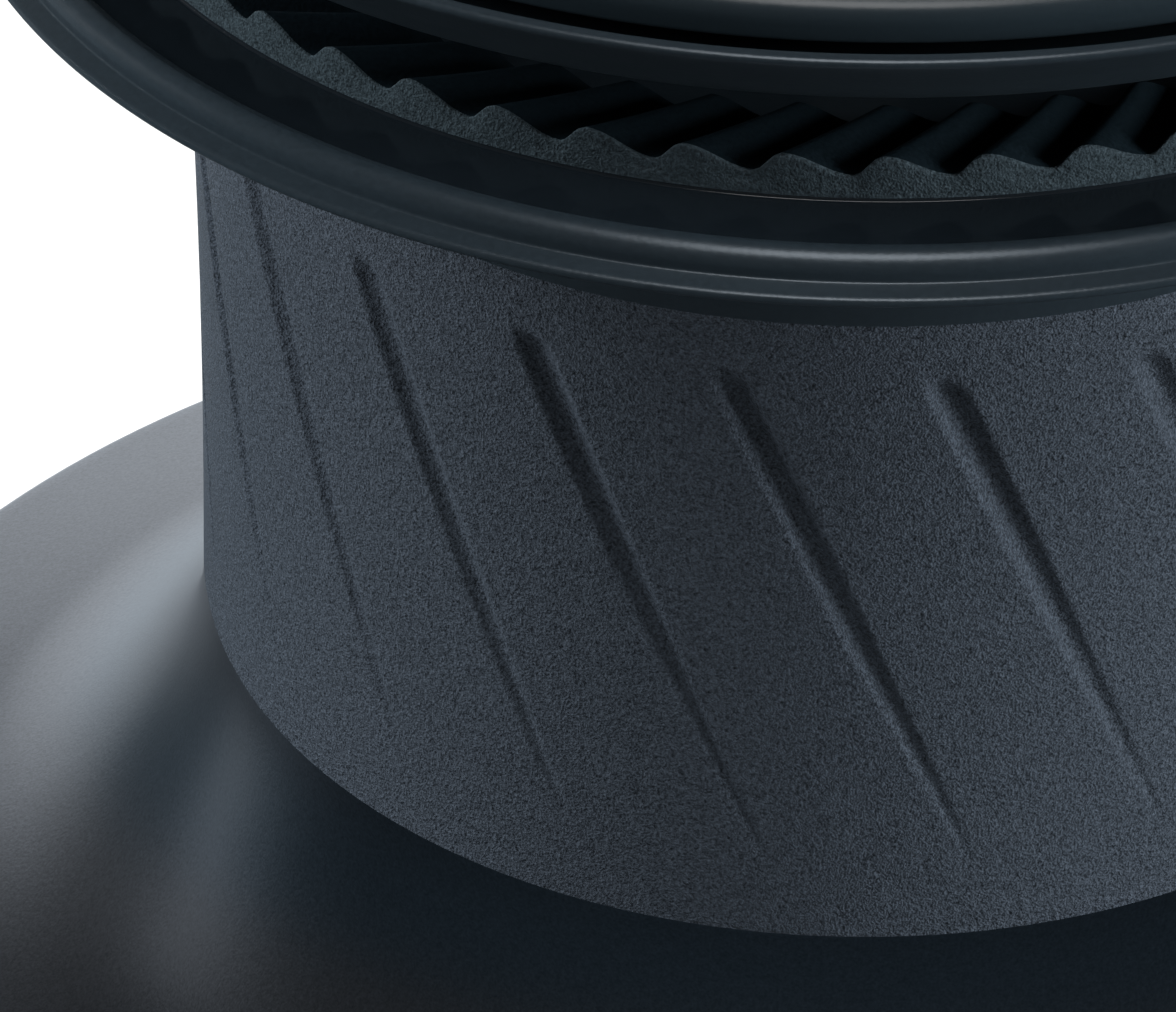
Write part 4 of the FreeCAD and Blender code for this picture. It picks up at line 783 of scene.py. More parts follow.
@dataclass
class Drum:
    """The waisted drum: blasted barrel with slanted grooves, satin flare and neck."""

    role: Role = Role("drum_shell", "drum", "drum_metal", "drum")
    barrel_radius: float = 40.4
    barrel_hollow: float = 0.3
    barrel_foot: float = 76.0
    barrel_top: float = 119.0
    barrel_rows: int = 86
    barrel_skin: float = 1.2
    flare_radius: float = 25.0
    flare_drop: float = 28.0
    flare_wall: float = 3.5
    flare_lip: float = 0.8
    flare_steps: int = 44
    flare_inner_steps: int = 16
    flare_edge_steps: int = 12
    rim_radius: float = 72.0
    rim_foot: float = 44.5
    bore: float = 33.0
    ledge: float = 72.0
    neck_radius: float = 34.5
    neck_bore: float = 31.0
    neck_top: float = 143.5
    ring_root: float = 57.2
    seat_inner: float = 61.02
    seat_outer: float = 64.52
    seat_foot: float = 36.0
    groove_count: int = 21
    groove_first: float = 260.0
    groove_top: float = 115.2
    groove_foot: float = 81.5
    groove_turn: float = 0.62
    groove_half_width: float = 1.15
    groove_depth: float = 0.62
    groove_roundness: float = 1.2
    groove_lean_share: float = 0.84
    groove_reach: float = 1.5
    near_columns: int = 17
    far_columns: int = 8
    narrowing: float = 0.75
    narrowing_power: float = 1.6
    fading: float = 0.93
    fading_power: float = 1.5

    def outline(self) -> Outline:
        """The drum's section.

        Returns:
            The closed outline, barrel in the main group and the rest smooth.
        """
        flare_axis = self.barrel_radius + self.flare_radius
        rim_top = self.barrel_foot - self.flare_drop
        reach = self.rim_radius - self.flare_lip - flare_axis
        touch = math.degrees(
            math.atan2(-self.flare_drop, reach)
            - math.acos(self.flare_radius / math.hypot(reach, self.flare_drop)))
        inner = self.flare_radius + self.flare_wall
        low = math.degrees(math.acos((flare_axis - self.ring_root) / inner))
        high = math.degrees(math.asin((self.barrel_foot - self.ledge) / inner))
        cover = self.barrel_foot - inner * math.sin(math.radians(low))
        corners = [
            smooth(self.ring_root, cover), smooth(self.ring_root, self.rim_foot),
            smooth(self.seat_inner, self.rim_foot), smooth(self.seat_inner, self.seat_foot, 0.4),
            smooth(self.seat_outer, self.seat_foot, 0.4), smooth(self.seat_outer, self.rim_foot),
            smooth(self.rim_radius, self.rim_foot, 0.5), smooth(self.rim_radius, rim_top, 0.7)]
        flare = arc((flare_axis, self.barrel_foot), self.flare_radius, touch + FULL_TURN, 180.0,
                    self.flare_steps)
        corners.append(smooth(flare[0].radius, flare[0].height, steps=self.flare_edge_steps))
        corners += flare[1:]
        for row in range(1, self.barrel_rows + 1):
            part = row / self.barrel_rows
            waist = self.barrel_hollow * 4.0 * part * (1.0 - part)
            height = self.barrel_foot + (self.barrel_top - self.barrel_foot) * part
            corners.append(Corner(self.barrel_radius - waist, height))
        corners += [
            smooth(self.neck_radius, self.barrel_top),
            smooth(self.neck_radius, self.neck_top, 0.3, 3),
            smooth(self.neck_bore, self.neck_top, 0.3), smooth(self.neck_bore, self.barrel_top),
            smooth(self.bore, self.barrel_top), smooth(self.bore, self.ledge)]
        corners += arc((flare_axis, self.barrel_foot), inner, 180.0 + high, 180.0 + low,
                       self.flare_inner_steps)[:-1]
        return Outline.rounded(corners)

    def columns(self) -> np.ndarray:
        """Azimuths that lie close beside the grooves and wider between them.

        Returns:
            The azimuths.
        """
        pitch = FULL_TURN / self.groove_count
        reach = math.degrees(self.groove_half_width * self.groove_reach / self.barrel_radius)
        near = np.linspace(-reach, reach, self.near_columns)
        far = np.linspace(reach, pitch - reach, self.far_columns)[1:-1]
        share = np.concatenate((near, far))
        return np.concatenate([share + pitch * index for index in range(self.groove_count)])

    def lean(self, radii: np.ndarray, heights: np.ndarray) -> np.ndarray:
        """Turns the rows of the barrel so that the columns follow the grooves.

        Args:
            radii: The outline's distances.
            heights: The outline's heights.

        Returns:
            The turn of each row.
        """
        down = self.groove_top - np.clip(heights, self.barrel_foot, self.barrel_top)
        return no_lean(radii, heights) + self.groove_first + self.groove_turn * down

    def tree(self) -> ShapeTree:
        """Builds the tree that sinks the grooves into the barrel.

        Returns:
            The tree.
        """
        tree = ShapeTree("drum_grooves")
        count, first, turn, top, foot, half_width, depth = tree.numbers(
            "Count", "First", "Turn", "Top", "Foot", "Half width", "Depth")
        polar = Polar.of(tree, tree.position())
        down = top - polar.height
        part = (down / (top - foot)).clamped()
        pitch = count / math.tau
        across = ((polar.azimuth - first - down * turn) * pitch).folded() / pitch * polar.radius
        past_top = (polar.height - top + half_width).above(0.0)
        past_foot = (foot - polar.height).above(0.0)
        aside = (across * across * self.groove_lean_share + past_top * past_top
                 + past_foot * past_foot).root()
        width = half_width * (part.to_power(self.narrowing_power) * self.narrowing).from_one()
        hollow = (aside / width).clamped().to_power(2.0).from_one()
        skin = (self.barrel_radius - self.barrel_skin) * MM
        outside = (polar.radius - skin).step("SIGN").above(0.0)
        sink = (hollow.to_power(self.groove_roundness) * depth
                * (part.to_power(self.fading_power) * self.fading).from_one() * outside)
        inwards = tree.node("ShaderNodeVectorMath", operation="MULTIPLY")
        tree.link(tree.position(), inwards.inputs[0])
        inwards.inputs[1].default_value = (-1.0, -1.0, 0.0)
        shift = tree.node("ShaderNodeVectorMath", operation="SCALE")
        tree.link(inwards.outputs[0], shift.inputs[0])
        tree.link(sink / polar.radius.above(MM), shift.inputs["Scale"])
        return tree.finish(tree.moved(shift.outputs[0]),
                           {Zone.MAIN: BLASTED_DRUM, Zone.SMOOTH: SATIN_FLARE})

    def build(self, workshop: Workshop) -> None:
        """Makes the drum.

        Args:
            workshop: Where it is put together.
        """
        mesh = turned_mesh(self.role.name, self.outline(), self.columns(), lean=self.lean)
        workshop.add(self.role, mesh, self.tree(), {
            "Count": self.groove_count, "First": math.radians(self.groove_first),
            "Turn": math.radians(self.groove_turn) / MM, "Top": self.groove_top * MM,
            "Foot": self.groove_foot * MM, "Half width": self.groove_half_width * MM,
            "Depth": self.groove_depth * MM})


@dataclass
class Ribs:
    """Slanted ribs on a turned face: a wave along the rim that runs inwards."""

    outer: float
    inner: float
    depth: float
    rise: float
    upwards: bool
    per_pitch: int
    count: int = 54
    slant: float = 40.0
    peak: float = 271.6
    gentle_share: float = 0.72
    outer_ease: float = 0.6
    inner_ease: float = 0.2

    def lean(self, radii: np.ndarray, heights: np.ndarray) -> np.ndarray:
        """Turns the rows so that the columns follow the ribs.

        Args:
            radii: The outline's distances.
            heights: The outline's heights.

        Returns:
            The turn of each row.
        """
        reach = np.clip(radii, self.inner, self.outer)
        turn = np.degrees(math.tan(math.radians(self.slant)) * np.log(self.outer / reach))
        return no_lean(radii, heights) + self.peak + turn

    def tree(self, name: str, level: float, finishes: dict[Zone, Finish]) -> ShapeTree:
        """Builds the tree that cuts the notches between the ribs.

        Args:
            name: The tree's name.
            level: Height at which the notches begin to act.
            finishes: The finish of each face group.

        Returns:
            The tree.
        """
        tree = ShapeTree(name)
        count, peak, depth, outer, inner, slant, rise = tree.numbers(
            "Count", "Peak", "Depth", "Outer", "Inner", "Slant", "Rise")
        polar = Polar.of(tree, tree.position())
        reach = polar.radius.step("MINIMUM", outer).step("MAXIMUM", inner)
        turn = (outer / reach).step("LOGARITHM", math.e) * slant
        share = ((polar.azimuth - peak - turn) * (count / math.tau)).wrapped()
        gentle = (share / self.gentle_share).clamped()
        steep = ((share - self.gentle_share) / (1.0 - self.gentle_share)).clamped()
        notch = ((gentle - steep) * math.pi).step("COSINE") * -0.5 + 0.5
        way = 1.0 if self.upwards else -1.0
        near = ((polar.height - level * MM) * way / rise).clamped()
        outer_ease, inner_ease = self.outer_ease * MM, self.inner_ease * MM
        inside = ((polar.radius - outer - outer_ease) / -outer_ease).clamped()
        beyond = ((polar.radius - inner + inner_ease) / inner_ease).clamped()
        shift = tree.node("ShaderNodeCombineXYZ")
        tree.link(notch * depth * near * inside * beyond * -way, shift.inputs[2])
        return tree.finish(tree.moved(shift.outputs[0]), finishes)

    def build(self, workshop: Workshop, role: Role, outline: Outline, level: float,
              finishes: dict[Zone, Finish]) -> None:
        """Makes a jaw with these ribs.

        Args:
            workshop: Where it is put together.
            role: What the jaw is.
            outline: The jaw's section.
            level: Height at which the notches begin to act.
            finishes: The finish of each face group.
        """
        columns = even_columns(self.count * self.per_pitch)
        mesh = turned_mesh(role.name, outline, columns, lean=self.lean)
        workshop.add(role, mesh, self.tree(role.node + "_ribs", level, finishes), {
            "Count": self.count, "Peak": math.radians(self.peak), "Depth": self.depth * MM,
            "Outer": self.outer * MM, "Inner": self.inner * MM,
            "Slant": math.tan(math.radians(self.slant)), "Rise": self.rise * MM})


@dataclass
class LowerJaw:
    """The lower jaw: rolled lip, polished channel and toothed crown."""

    role: Role = Role("lower_jaw_ring", "drum", "jaw_moulding", "lower_jaw")
    bore: float = 34.55
    seat: float = 119.0
    barrel_radius: float = 40.4
    under_radius: float = 10.9
    under_end: float = 101.0
    under_steps: int = 18
    lip_radius: float = 54.3
    lip_foot: float = 129.2
    lip_height: float = 0.65
    lip_set_back: float = 0.7
    lip_rise: float = 0.15
    edge_radius: float = 53.1
    edge_foot: float = 130.25
    edge_round: float = 1.2
    edge_top: float = 131.9
    edge_steps: int = 10
    channel: float = 131.6
    channel_slope: float = 0.3
    land: float = 131.5
    crown_draft: float = 0.25
    crown_top: float = 134.3
    crown_inner_top: float = 133.65
    notch_start: float = 132.1
    ribs: Ribs = field(default_factory=lambda: Ribs(
        outer=47.0, inner=40.5, depth=1.2, rise=1.4, upwards=True, per_pitch=14))

    def outline(self) -> Outline:
        """The jaw's section.

        Returns:
            The closed outline with its face groups.
        """
        crown, inner, edge = self.ribs.outer, self.ribs.inner, self.edge_round
        corners = [smooth(self.bore, self.seat), smooth(self.barrel_radius, self.seat)]
        corners += arc((self.barrel_radius + self.under_radius, self.seat), self.under_radius,
                       180.0, self.under_end, self.under_steps)[1:]
        corners += [
            smooth(self.lip_radius - self.lip_set_back, self.lip_foot, 0.4),
            smooth(self.lip_radius, self.lip_foot + self.lip_rise, 0.3),
            smooth(self.lip_radius, self.lip_foot + self.lip_height, 0.3),
            smooth(self.edge_radius, self.edge_foot, 0.15)]
        corners += arc((self.edge_radius - edge, self.edge_top - edge), edge, 0.0, 90.0,
                       self.edge_steps)
        corners += [
            smooth(self.edge_radius - edge - self.channel_slope, self.channel, 0.2),
            Corner(crown + self.crown_draft, self.channel, 0.25, Zone.GLOSSY, 6),
            Corner(crown, self.crown_top, 0.18, Zone.MAIN, 10),
            # The rib tops and the land inside the crown get the painted shade of the upper jaw's
            # shadow.
            Corner(inner, self.crown_inner_top, 0.12, Zone.SHADED, 12),
            Corner(inner, self.land, 0.1, Zone.SHADED, 4),
            smooth(self.bore, self.land)]
        return Outline.rounded(corners, 4)

    def build(self, workshop: Workshop) -> None:
        """Makes the jaw.

        Args:
            workshop: Where it is put together.
        """
        self.ribs.build(workshop, self.role, self.outline(), self.notch_start, {
            Zone.MAIN: CAST_JAW, Zone.SMOOTH: SATIN_JAW, Zone.GLOSSY: GLOSS_JAW,
            Zone.SHADED: PAINTED_SHADE_RIBS})


@dataclass
class UpperJaw:
    """The sprung upper jaw: its ribbed face looks down, its rim is rolled."""

    role: Role = Role("upper_jaw_ring", "upper_jaw", "jaw_moulding", "upper_jaw")
    bore: float = 34.55
    face_inner: float = 36.5
    face_foot: float = 136.44
    face_outer: float = 51.6
    face_top: float = 140.9
    nose_radius: float = 52.9
    nose_height: float = 142.6
    rim_radius: float = 54.9
    rim_top: float = 144.9
    rim_round: float = 0.3
    rim_width: float = 0.9
    step_outer: float = 52.6
    step_inner: float = 46.6
    step_height: float = 142.2
    top: float = 141.4
    notch_start: float = 141.2
    plain_inside: float = 0.3
    plain_outside: float = 0.5
    ribs: Ribs = field(default_factory=lambda: Ribs(
        outer=50.0, inner=40.5, depth=0.8, rise=0.3, upwards=False, per_pitch=10))

    def on_face(self, radius: float) -> Point:
        """The point of the ribbed face at a distance from the axis."""
        slope = (self.face_top - self.face_foot) / (self.face_outer - self.face_inner)
        return radius, self.face_foot + (radius - self.face_inner) * slope

    def outline(self) -> Outline:
        """The jaw's section.

        Returns:
            The closed outline with its face groups.
        """
        over = self.rim_top + self.rim_round
        corners = [
            smooth(self.bore, self.face_foot), smooth(self.face_inner, self.face_foot, 0.3),
            smooth(*self.on_face(self.ribs.inner - self.plain_inside)),
            Corner(*self.on_face(self.ribs.outer + self.plain_outside), steps=14),
            smooth(self.face_outer, self.face_top, 0.4),
            smooth(self.nose_radius, self.nose_height, 0.4),
            smooth(self.rim_radius, self.rim_top, 0.4, 2),
            smooth(self.rim_radius - self.rim_round, over, 0.15),
            smooth(self.rim_radius - self.rim_width, over, 0.15),
            smooth(self.step_outer, self.step_height, 0.4, 2),
            smooth(self.step_inner, self.step_height, 0.2),
            smooth(self.step_inner, self.top, 0.2), smooth(self.bore, self.top)]
        return Outline.rounded(corners, 4)

    def build(self, workshop: Workshop) -> None:
        """Makes the jaw.

        Args:
            workshop: Where it is put together.
        """
        # The ribbed face under this jaw gets the painted shade.
        self.ribs.build(workshop, self.role, self.outline(), self.notch_start, {
            Zone.MAIN: PAINTED_SHADE_RIBS, Zone.SMOOTH: SATIN_JAW})


@dataclass
class TopGear:
    """What stands still above and beside the jaws: disc, stripper arm and line guide."""

    soft_angle: float = 38.0
    hub_bore: float = 17.5
    hub_radius: float = 33.0
    hub_top: float = 151.5
    under: float = 147.1
    recess_radius: float = 28.0
    recess_outer: float = 36.5
    recess_top: float = 148.4
    arch_radius: float = 46.6
    arch_height: float = 146.8
    disc_radius: float = 51.8
    disc_foot: float = 144.4
    disc_seat: float = 50.6
    disc_edge: float = 1.2
    seat_slope: float = 0.8
    disc_bead: float = 0.7
    disc_rounding: float = 1.6
    disc_shoulder: Point = (1.2, 1.45)
    dome: float = 0.16
    dome_steps: int = 12
    arm_angle: float = 20.0
    arm_sweep: float = 26.0
    arm_inner: float = 38.0
    arm_seat: float = 149.1
    arm_under: tuple[Point, Point] = ((49.0, 146.8), (51.7, 145.6))
    arm_step: float = 51.9
    arm_shoulders: Point = (3.0, 3.6)
    arm_foot: float = 147.7
    arm_top: float = 153.5
    post_inner: float = 58.0
    post_outer: float = 65.5
    post_foot: float = 123.5
    guide_sweep: float = 22.0
    guide_centre: Point = (51.3, 119.0)
    guide_radius: float = 6.9
    guide_wall: float = 3.0
    guide_tail: float = 10.0
    guide_foot: float = 120.5
    guide_tip: float = 1.0
    guide_bend: float = 53.8
    guide_neck: float = 57.5
    guide_steps: int = 10

    def disc_outline(self) -> Outline:
        """The section of the domed disc.

        Returns:
            The closed outline.
        """
        edge_top = self.disc_foot + self.disc_edge
        corners = [
            Corner(self.hub_bore, self.under), Corner(self.recess_radius, self.under, 0.3),
            Corner(self.recess_radius, self.recess_top, 0.3),
            Corner(self.recess_outer, self.recess_top),
            Corner(self.arch_radius, self.arch_height, 0.3),
            Corner(self.disc_seat - self.seat_slope, edge_top, 0.3),
            Corner(self.disc_seat, self.disc_foot, 0.2),
            Corner(self.disc_radius, self.disc_foot, 0.25),
            Corner(self.disc_radius, edge_top + self.disc_bead, self.disc_rounding)]
        start = Vector((self.disc_radius - self.disc_shoulder[0],
                        edge_top + self.disc_shoulder[1]))
        way = Vector((self.hub_radius, self.hub_top)) - start
        for step in range(self.dome_steps + 1):
            part = step / self.dome_steps
            rise = part + self.dome * part * (1.0 - part)
            corners.append(Corner(start.x + way.x * part, start.y + way.y * rise))
        corners.append(Corner(self.hub_bore, self.hub_top))
        return Outline.rounded(corners)

    def arm_outline(self) -> Outline:
        """The section of the stripper arm and its post.

        Returns:
            The closed outline.
        """
        return Outline.rounded([
            Corner(self.arm_inner, self.arm_seat), *(Corner(*spot) for spot in self.arm_under),
            Corner(self.arm_step, self.arm_foot, 0.3),
            Corner(self.post_inner, self.arm_foot, 1.2),
            Corner(self.post_inner, self.post_foot), Corner(self.post_outer, self.post_foot),
            Corner(self.post_outer, self.arm_top, self.arm_shoulders[1]),
            Corner(self.arch_radius, self.arm_top, self.arm_shoulders[0]),
            Corner(self.arm_inner, self.hub_top)], 6)

    def guide_outline(self) -> Outline:
        """The section of the line guide under the lower jaw.

        Returns:
            The closed outline.
        """
        centre, seat = self.guide_centre, self.guide_centre[1]
        inner = centre[0] - self.guide_radius
        outer = self.guide_radius + self.guide_wall
        corners = [
            Corner(inner - self.guide_wall, seat - self.guide_tail + self.guide_tip),
            Corner(inner, seat - self.guide_tail), Corner(inner, seat)]
        corners += arc(centre, self.guide_radius, 180.0, 90.0, self.guide_steps)[1:]
        corners += [
            Corner(self.guide_bend, self.guide_foot, 0.8),
            Corner(self.post_outer, self.guide_foot),
            Corner(self.post_outer, self.post_foot), Corner(self.post_inner, self.post_foot),
            Corner(self.guide_neck, seat + outer, 0.6), Corner(centre[0], seat + outer)]
        corners += arc(centre, outer, 90.0, 180.0, self.guide_steps)[1:]
        return Outline.rounded(corners, 6)

    def add(self, workshop: Workshop, role: Role, mesh: bpy.types.Mesh, finish: Finish,
            bevel: float = 0.0) -> None:
        """Makes a piece that needs no shaping.

        Args:
            workshop: Where it is put together.
            role: What the piece is.
            mesh: Its mesh.
            finish: Its finish.
            bevel: The rounding of its edges.
        """
        tree = ShapeTree(role.name + "_finish")
        tree.finish(tree.entry.outputs[0], {Zone.MAIN: finish})
        workshop.add(role, mesh, tree, {}, bevel, self.soft_angle)

    def build(self, workshop: Workshop) -> None:
        """Makes the disc, the arm and the guide.

        Args:
            workshop: Where they are put together.
        """
        role = Role("top_disc", "base", "top_moulding", "stripper_arm")
        self.add(workshop, role, turned_mesh(role.name, self.disc_outline(), even_columns(256)),
                 TOP_MOULDING)
        for role, outline, sweep, finish, bevel in (
                (Role("stripper_arm_shell", "base", "top_moulding", "stripper_arm"),
                 self.arm_outline(), self.arm_sweep, TOP_MOULDING, 0.9),
                (Role("line_guide_shell", "base", "guide_steel", "line_guide"),
                 self.guide_outline(), self.guide_sweep, POLISHED, 0.5)):
            columns = even_columns(28, sweep, self.arm_angle)
            mesh = turned_mesh(role.name, outline, columns, closed=False)
            self.add(workshop, role, mesh, finish, bevel)


@dataclass
class Screws:
    """Equal socket screws at even steps round the winch axis."""

    name: str
    node: str
    count: int
    first: float
    step: float
    distance: float
    height: float
    tilt: float
    length: float
    head: float
    head_height: float
    shank: float = 1.5
    key: float = 1.15
    key_depth: float = 0.8
    head_rounding: float = 0.45
    head_bend: Point = (0.12, 0.13)
    head_chamfer: float = 0.1
    tip_chamfer: float = 0.4
    columns: int = 48

    def mesh(self) -> bpy.types.Mesh:
        """Makes one screw that points up, with its bearing face at the origin.

        Returns:
            The mesh, in metres.
        """
        rounding, chamfer, tip = self.head_rounding, self.head_chamfer, self.tip_chamfer
        round_rows = [
            (self.head - rounding, self.head_height),
            (self.head - self.head_bend[0], self.head_height - self.head_bend[1]),
            (self.head, self.head_height - rounding), (self.head, chamfer),
            (self.head - chamfer, 0.0), (self.shank, 0.0), (self.shank, tip - self.length),
            (self.shank - tip, -self.length)]
        angles = [math.tau * column / self.columns for column in range(self.columns)]
        hexagon = [1.0 / math.cos(angle % (math.pi / 3) - math.pi / 6) for angle in angles]
        rows = [(self.key, self.head_height - self.key_depth, hexagon),
                (self.key, self.head_height, hexagon)]
        rows += [(radius, height, [1.0] * self.columns) for radius, height in round_rows]
        vertices = [(radius * reach * math.cos(angle) * MM, radius * reach * math.sin(angle) * MM,
                     height * MM)
                    for radius, height, shape in rows for angle, reach in zip(angles, shape)]
        count = self.columns
        faces = [(row * count + column, (row + 1) * count + column,
                  (row + 1) * count + (column + 1) % count, row * count + (column + 1) % count)
                 for row in range(len(rows) - 1) for column in range(count)]
        last = (len(rows) - 1) * count
        faces += [tuple(range(count)), tuple(reversed(range(last, last + count)))]
        mesh = bpy.data.meshes.new(self.name)
        mesh.from_pydata(vertices, [], faces)
        mesh.validate()
        return mesh

    def tree(self) -> ShapeTree:
        """Builds the tree that sets the screws out round the axis.

        Returns:
            The tree.
        """
        tree = ShapeTree(self.name + "_set_out")
        count, first, step, distance, height, tilt = tree.numbers(
            "Count", "First", "Step", "Distance", "Height", "Tilt")
        line = tree.node("GeometryNodeMeshLine")
        tree.link(count, line.inputs["Count"])
        angle = first + Formula(tree, tree.node("GeometryNodeInputIndex").outputs[0]) * step
        spot = tree.node("ShaderNodeCombineXYZ")
        tree.link(angle.step("COSINE") * distance, spot.inputs[0])
        tree.link(angle.step("SINE") * distance, spot.inputs[1])
        tree.link(height, spot.inputs[2])
        place = tree.node("GeometryNodeSetPosition")
        tree.link(line.outputs[0], place.inputs["Geometry"])
        tree.link(spot.outputs[0], place.inputs["Position"])
        turn = tree.node("ShaderNodeCombineXYZ")
        tree.link(tilt, turn.inputs[1])
        tree.link(angle, turn.inputs[2])
        rotation = tree.node("FunctionNodeEulerToRotation")
        tree.link(turn.outputs[0], rotation.inputs[0])
        copies = tree.node("GeometryNodeInstanceOnPoints")
        tree.link(place.outputs[0], copies.inputs["Points"])
        tree.link(tree.entry.outputs[0], copies.inputs["Instance"])
        tree.link(rotation.outputs[0], copies.inputs["Rotation"])
        return tree.finish(copies.outputs[0], {Zone.MAIN: POLISHED})

    def build(self, workshop: Workshop) -> None:
        """Makes the screws.

        Args:
            workshop: Where they are put together.
        """
        role = Role(self.name, "base", "fastener_steel", self.node)
        workshop.add(role, self.mesh(), self.tree(), {
            "Count": self.count, "First": math.radians(self.first),
            "Step": math.radians(self.step), "Distance": self.distance * MM,
            "Height": self.height * MM, "Tilt": math.radians(self.tilt)})


SCREW_SETS = (
    Screws("skirt_socket_screws", "skirt_screws", count=3, first=10.0, step=120.0,
           distance=77.0, height=3.5, tilt=90.0, length=6.0, head=2.7, head_height=1.4),
    Screws("peeler_socket_screws", "line_peeler_screws", count=2, first=16.0, step=8.0,
           distance=65.5, height=137.25, tilt=90.0, length=8.9, head=2.55, head_height=1.5),
    Screws("guide_socket_screws", "line_guide_screws", count=2, first=14.0, step=12.0,
           distance=61.75, height=120.5, tilt=180.0, length=8.0, head=2.7, head_height=1.6),
)


# Studio


@dataclass(frozen=True)
class SoftBox:
    """A soft square lamp that looks at a height on the axis, in metres and watts."""

    name: str
    place: tuple[float, float, float]
    aim: float
    size: float
    watts: float
    mirrored: bool

    def hang(self) -> None:
        """Puts the lamp up."""
        data = bpy.data.lights.new(self.name, "AREA")
        data.shape = "RECTANGLE"
        data.size = data.size_y = self.size
        data.energy = self.watts
        lamp = bpy.data.objects.new(self.name, data)
        lamp.visible_camera = False
        lamp.visible_glossy = self.mirrored
        bpy.context.scene.collection.objects.link(lamp)
        way = Vector((0.0, 0.0, self.aim)) - Vector(self.place)
        lamp.matrix_world = (Matrix.Translation(self.place)
                             @ way.to_track_quat("-Z", "Y").to_matrix().to_4x4())


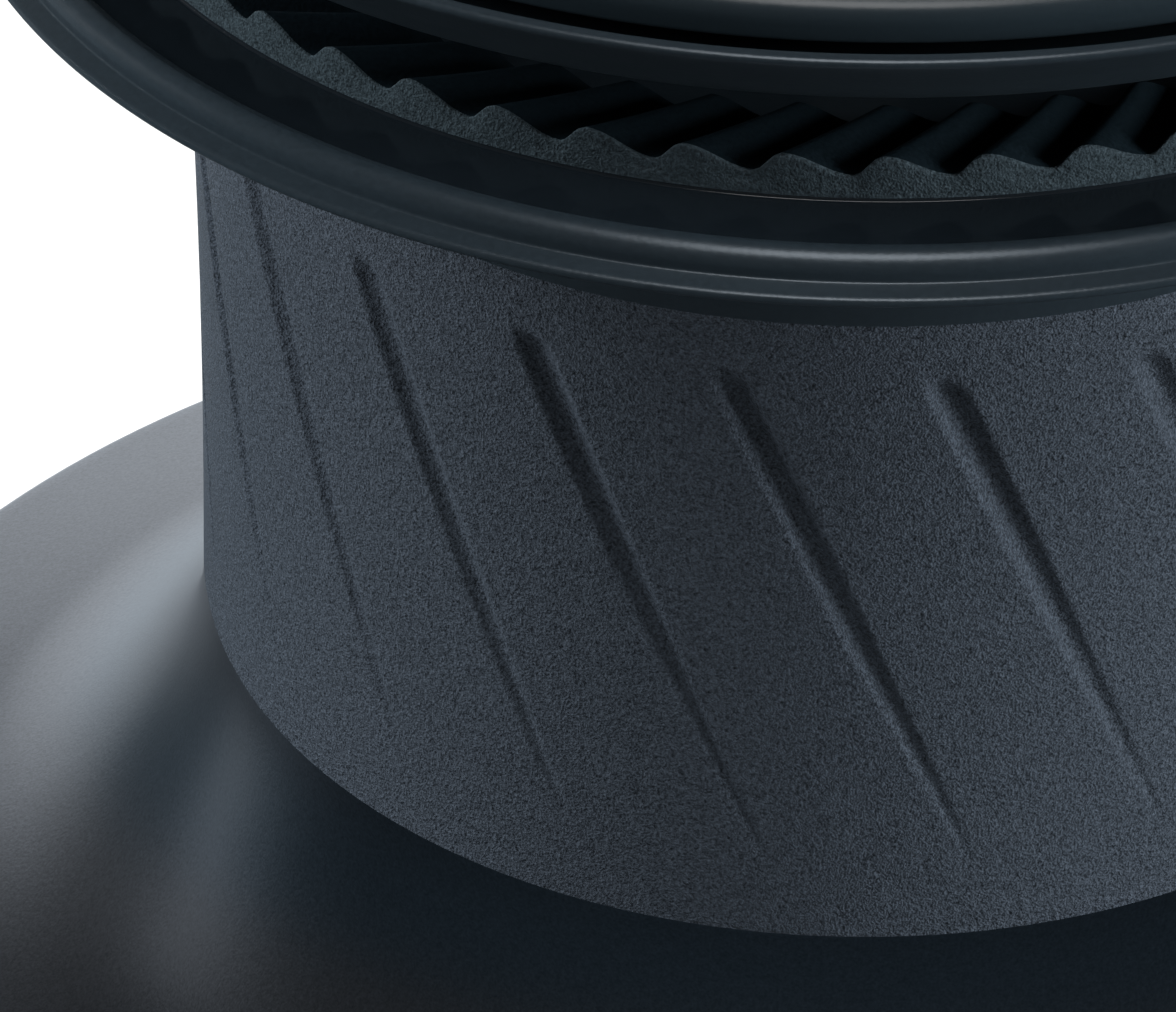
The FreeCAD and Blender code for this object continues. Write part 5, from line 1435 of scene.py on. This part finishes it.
@dataclass
class Studio:
    """Camera, pale floor, white surroundings and soft lamps."""

    eye: tuple[float, float, float] = (0.0, -0.4118, 0.3653)
    yaw: float = -2.264
    pitch: float = 34.861
    roll: float = 0.09
    lens: float = 244.9
    floor_half: float = 3.0
    floor_colour: float = 0.4
    floor_glow: float = 0.68
    world_light: float = 0.08
    # From the ceiling to the tints: levels of the painted reflection that glossy rays see in the
    # world and on the floor; it lights nothing, and its darker front stands in for the floor in
    # the winch's shade.
    ceiling_light: float = 0.06
    ceiling_start: float = 0.25
    ceiling_blend: float = 0.2
    dark_front: float = 0.065
    dark_side: float = 0.14
    dark_slope: float = 2.5
    dark_level: float = 0.3
    back_reflection_glow: float = 1.25
    back_start: float = 0.68
    back_blend: float = 0.2
    side_reflection_glow: float = 0.6
    side_middle: float = -0.94
    side_blend: float = 0.07
    cool: Colour = (0.86, 0.94, 1.0)
    dark_reflection_tint: Colour = (0.5, 0.8, 1.0)
    lamps: tuple[SoftBox, ...] = (
        SoftBox("left_box", (-0.86, 0.08, 0.42), 0.10, 0.34, 12.4, False),
        SoftBox("right_box", (0.84, -0.21, 0.32), 0.10, 0.34, 12.6, False),
        SoftBox("front_box", (0.0, -0.50, 1.10), 0.12, 0.50, 4.2, True),
    )

    def camera(self) -> None:
        """Makes the camera of the photograph's view."""
        yaw, pitch = math.radians(self.yaw), math.radians(self.pitch)
        ahead = Vector((math.sin(yaw) * math.cos(pitch), math.cos(yaw) * math.cos(pitch),
                        -math.sin(pitch)))
        data = bpy.data.cameras.new("photo_view")
        data.lens = self.lens
        data.sensor_width = 36.0
        data.clip_start = 0.01
        data.clip_end = 20.0
        camera = bpy.data.objects.new("photo_view", data)
        bpy.context.scene.collection.objects.link(camera)
        turn = ahead.to_track_quat("-Z", "Y").to_matrix().to_4x4()
        camera.matrix_world = (Matrix.Translation(self.eye) @ turn
                               @ Matrix.Rotation(math.radians(self.roll), 4, "Z"))
        bpy.context.scene.camera = camera

    def painted_reflection(self, graph: Graph, place: Socket) -> Formula:
        """Painted reflection: bright bands behind the winch and at its left, darker towards the
        front, that only glossy rays see and that light nothing.

        Args:
            graph: The tree that needs them.
            place: A direction, or a place on the floor.

        Returns:
            The walls' brightness in that direction.
        """
        x, y, _ = graph.axes(place)
        away = (x * x + y * y).root().above(MM)
        behind = ((y / away - self.back_start) / self.back_blend).clamped() * self.back_reflection_glow
        aside = (x / away - self.side_middle).step("ABSOLUTE") / self.side_blend
        beside = aside.clamped().from_one() * y.step("SIGN").above(0.0) * self.side_reflection_glow
        between = ((y / away * self.dark_slope + self.dark_level).clamped()
                   * (self.dark_side - self.dark_front) + self.dark_front)
        return behind.step("MAXIMUM", beside).step("MAXIMUM", between)

    def surroundings(self) -> None:
        """Makes the world: white where it is seen, soft where it lights, and a painted reflection
        of bright bands for glossy rays.
        """
        world = bpy.data.worlds.new("studio")
        bpy.context.scene.world = world
        graph = Graph.of(world)
        light = graph.node("ShaderNodeBackground")
        light.inputs["Color"].default_value = (1.0, 1.0, 1.0, 1.0)
        way = graph.node("ShaderNodeTexCoord").outputs["Generated"]
        rise = ((graph.axes(way)[2] - self.ceiling_start) / self.ceiling_blend).clamped()
        # Painted reflection: glossy rays see bright bands and a dim ceiling that light nothing.
        mirrored = self.painted_reflection(graph, way) * rise.from_one() + rise * self.ceiling_light
        glossy = graph.path("Is Glossy Ray")
        strength = glossy * (mirrored - self.world_light) + self.world_light
        strength = graph.open_view() * strength.from_one() + strength
        graph.link(strength, light.inputs["Strength"])
        output = graph.node("ShaderNodeOutputWorld")
        graph.link(light.outputs[0], output.inputs["Surface"])

    def floor(self) -> None:
        """Lays the plain pale floor; for glossy rays it glows with the painted reflection instead
        of its lit colour, darker in front where it lies in the winch's shade.
        """
        half = self.floor_half
        mesh = bpy.data.meshes.new("floor")
        mesh.from_pydata([(-half, -half, 0), (half, -half, 0), (half, half, 0), (-half, half, 0)],
                         [], [(0, 1, 2, 3)])
        plane = bpy.data.objects.new("floor", mesh)
        bpy.context.scene.collection.objects.link(plane)
        material = bpy.data.materials.new("pale_floor")
        graph = Graph.of(material)
        shade = graph.node("ShaderNodeBsdfDiffuse")
        shade.inputs["Color"].default_value = (*(self.floor_colour,) * 3, 1.0)
        glow = graph.node("ShaderNodeEmission")
        glow.inputs["Color"].default_value = (1.0, 1.0, 1.0, 1.0)
        graph.link(graph.open_view() * self.floor_glow, glow.inputs["Strength"])
        both = graph.node("ShaderNodeAddShader")
        graph.link(shade.outputs[0], both.inputs[0])
        graph.link(glow.outputs[0], both.inputs[1])
        # Painted reflection: for glossy rays the floor glows with bright bands behind and at the
        # left and darker in front, tinted by their level.
        painted_reflection = self.painted_reflection(graph, graph.node("ShaderNodeTexCoord").outputs["Object"])
        colour = graph.node("ShaderNodeMix", data_type="RGBA")
        colour.inputs["A"].default_value = (*self.dark_reflection_tint, 1.0)
        colour.inputs["B"].default_value = (*self.cool, 1.0)
        graph.link((painted_reflection * 2.0).clamped(), colour.inputs["Factor"])
        mirrored = graph.node("ShaderNodeEmission")
        graph.link(colour.outputs["Result"], mirrored.inputs["Color"])
        graph.link(painted_reflection, mirrored.inputs["Strength"])
        choice = graph.node("ShaderNodeMixShader")
        graph.link(graph.path("Is Glossy Ray"), choice.inputs[0])
        graph.link(both.outputs[0], choice.inputs[1])
        graph.link(mirrored.outputs[0], choice.inputs[2])
        output = graph.node("ShaderNodeOutputMaterial")
        graph.link(choice.outputs[0], output.inputs["Surface"])
        mesh.materials.append(material)

    def build(self) -> None:
        """Sets up the whole studio."""
        bpy.context.scene.view_settings.view_transform = "Standard"
        self.camera()
        self.surroundings()
        self.floor()
        for lamp in self.lamps:
            lamp.hang()


def main() -> None:
    """Builds the winch's looks and the studio."""
    logging.basicConfig(level=logging.INFO, format="%(message)s")
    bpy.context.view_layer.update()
    workshop = Workshop()
    carry_over()
    for maker in (Drum(), LowerJaw(), UpperJaw(), TopGear(), *SCREW_SETS):
        maker.build(workshop)
    Studio().build()
    log.info("%d pieces made", len(workshop.made))


if __name__ == "__main__":
    main()
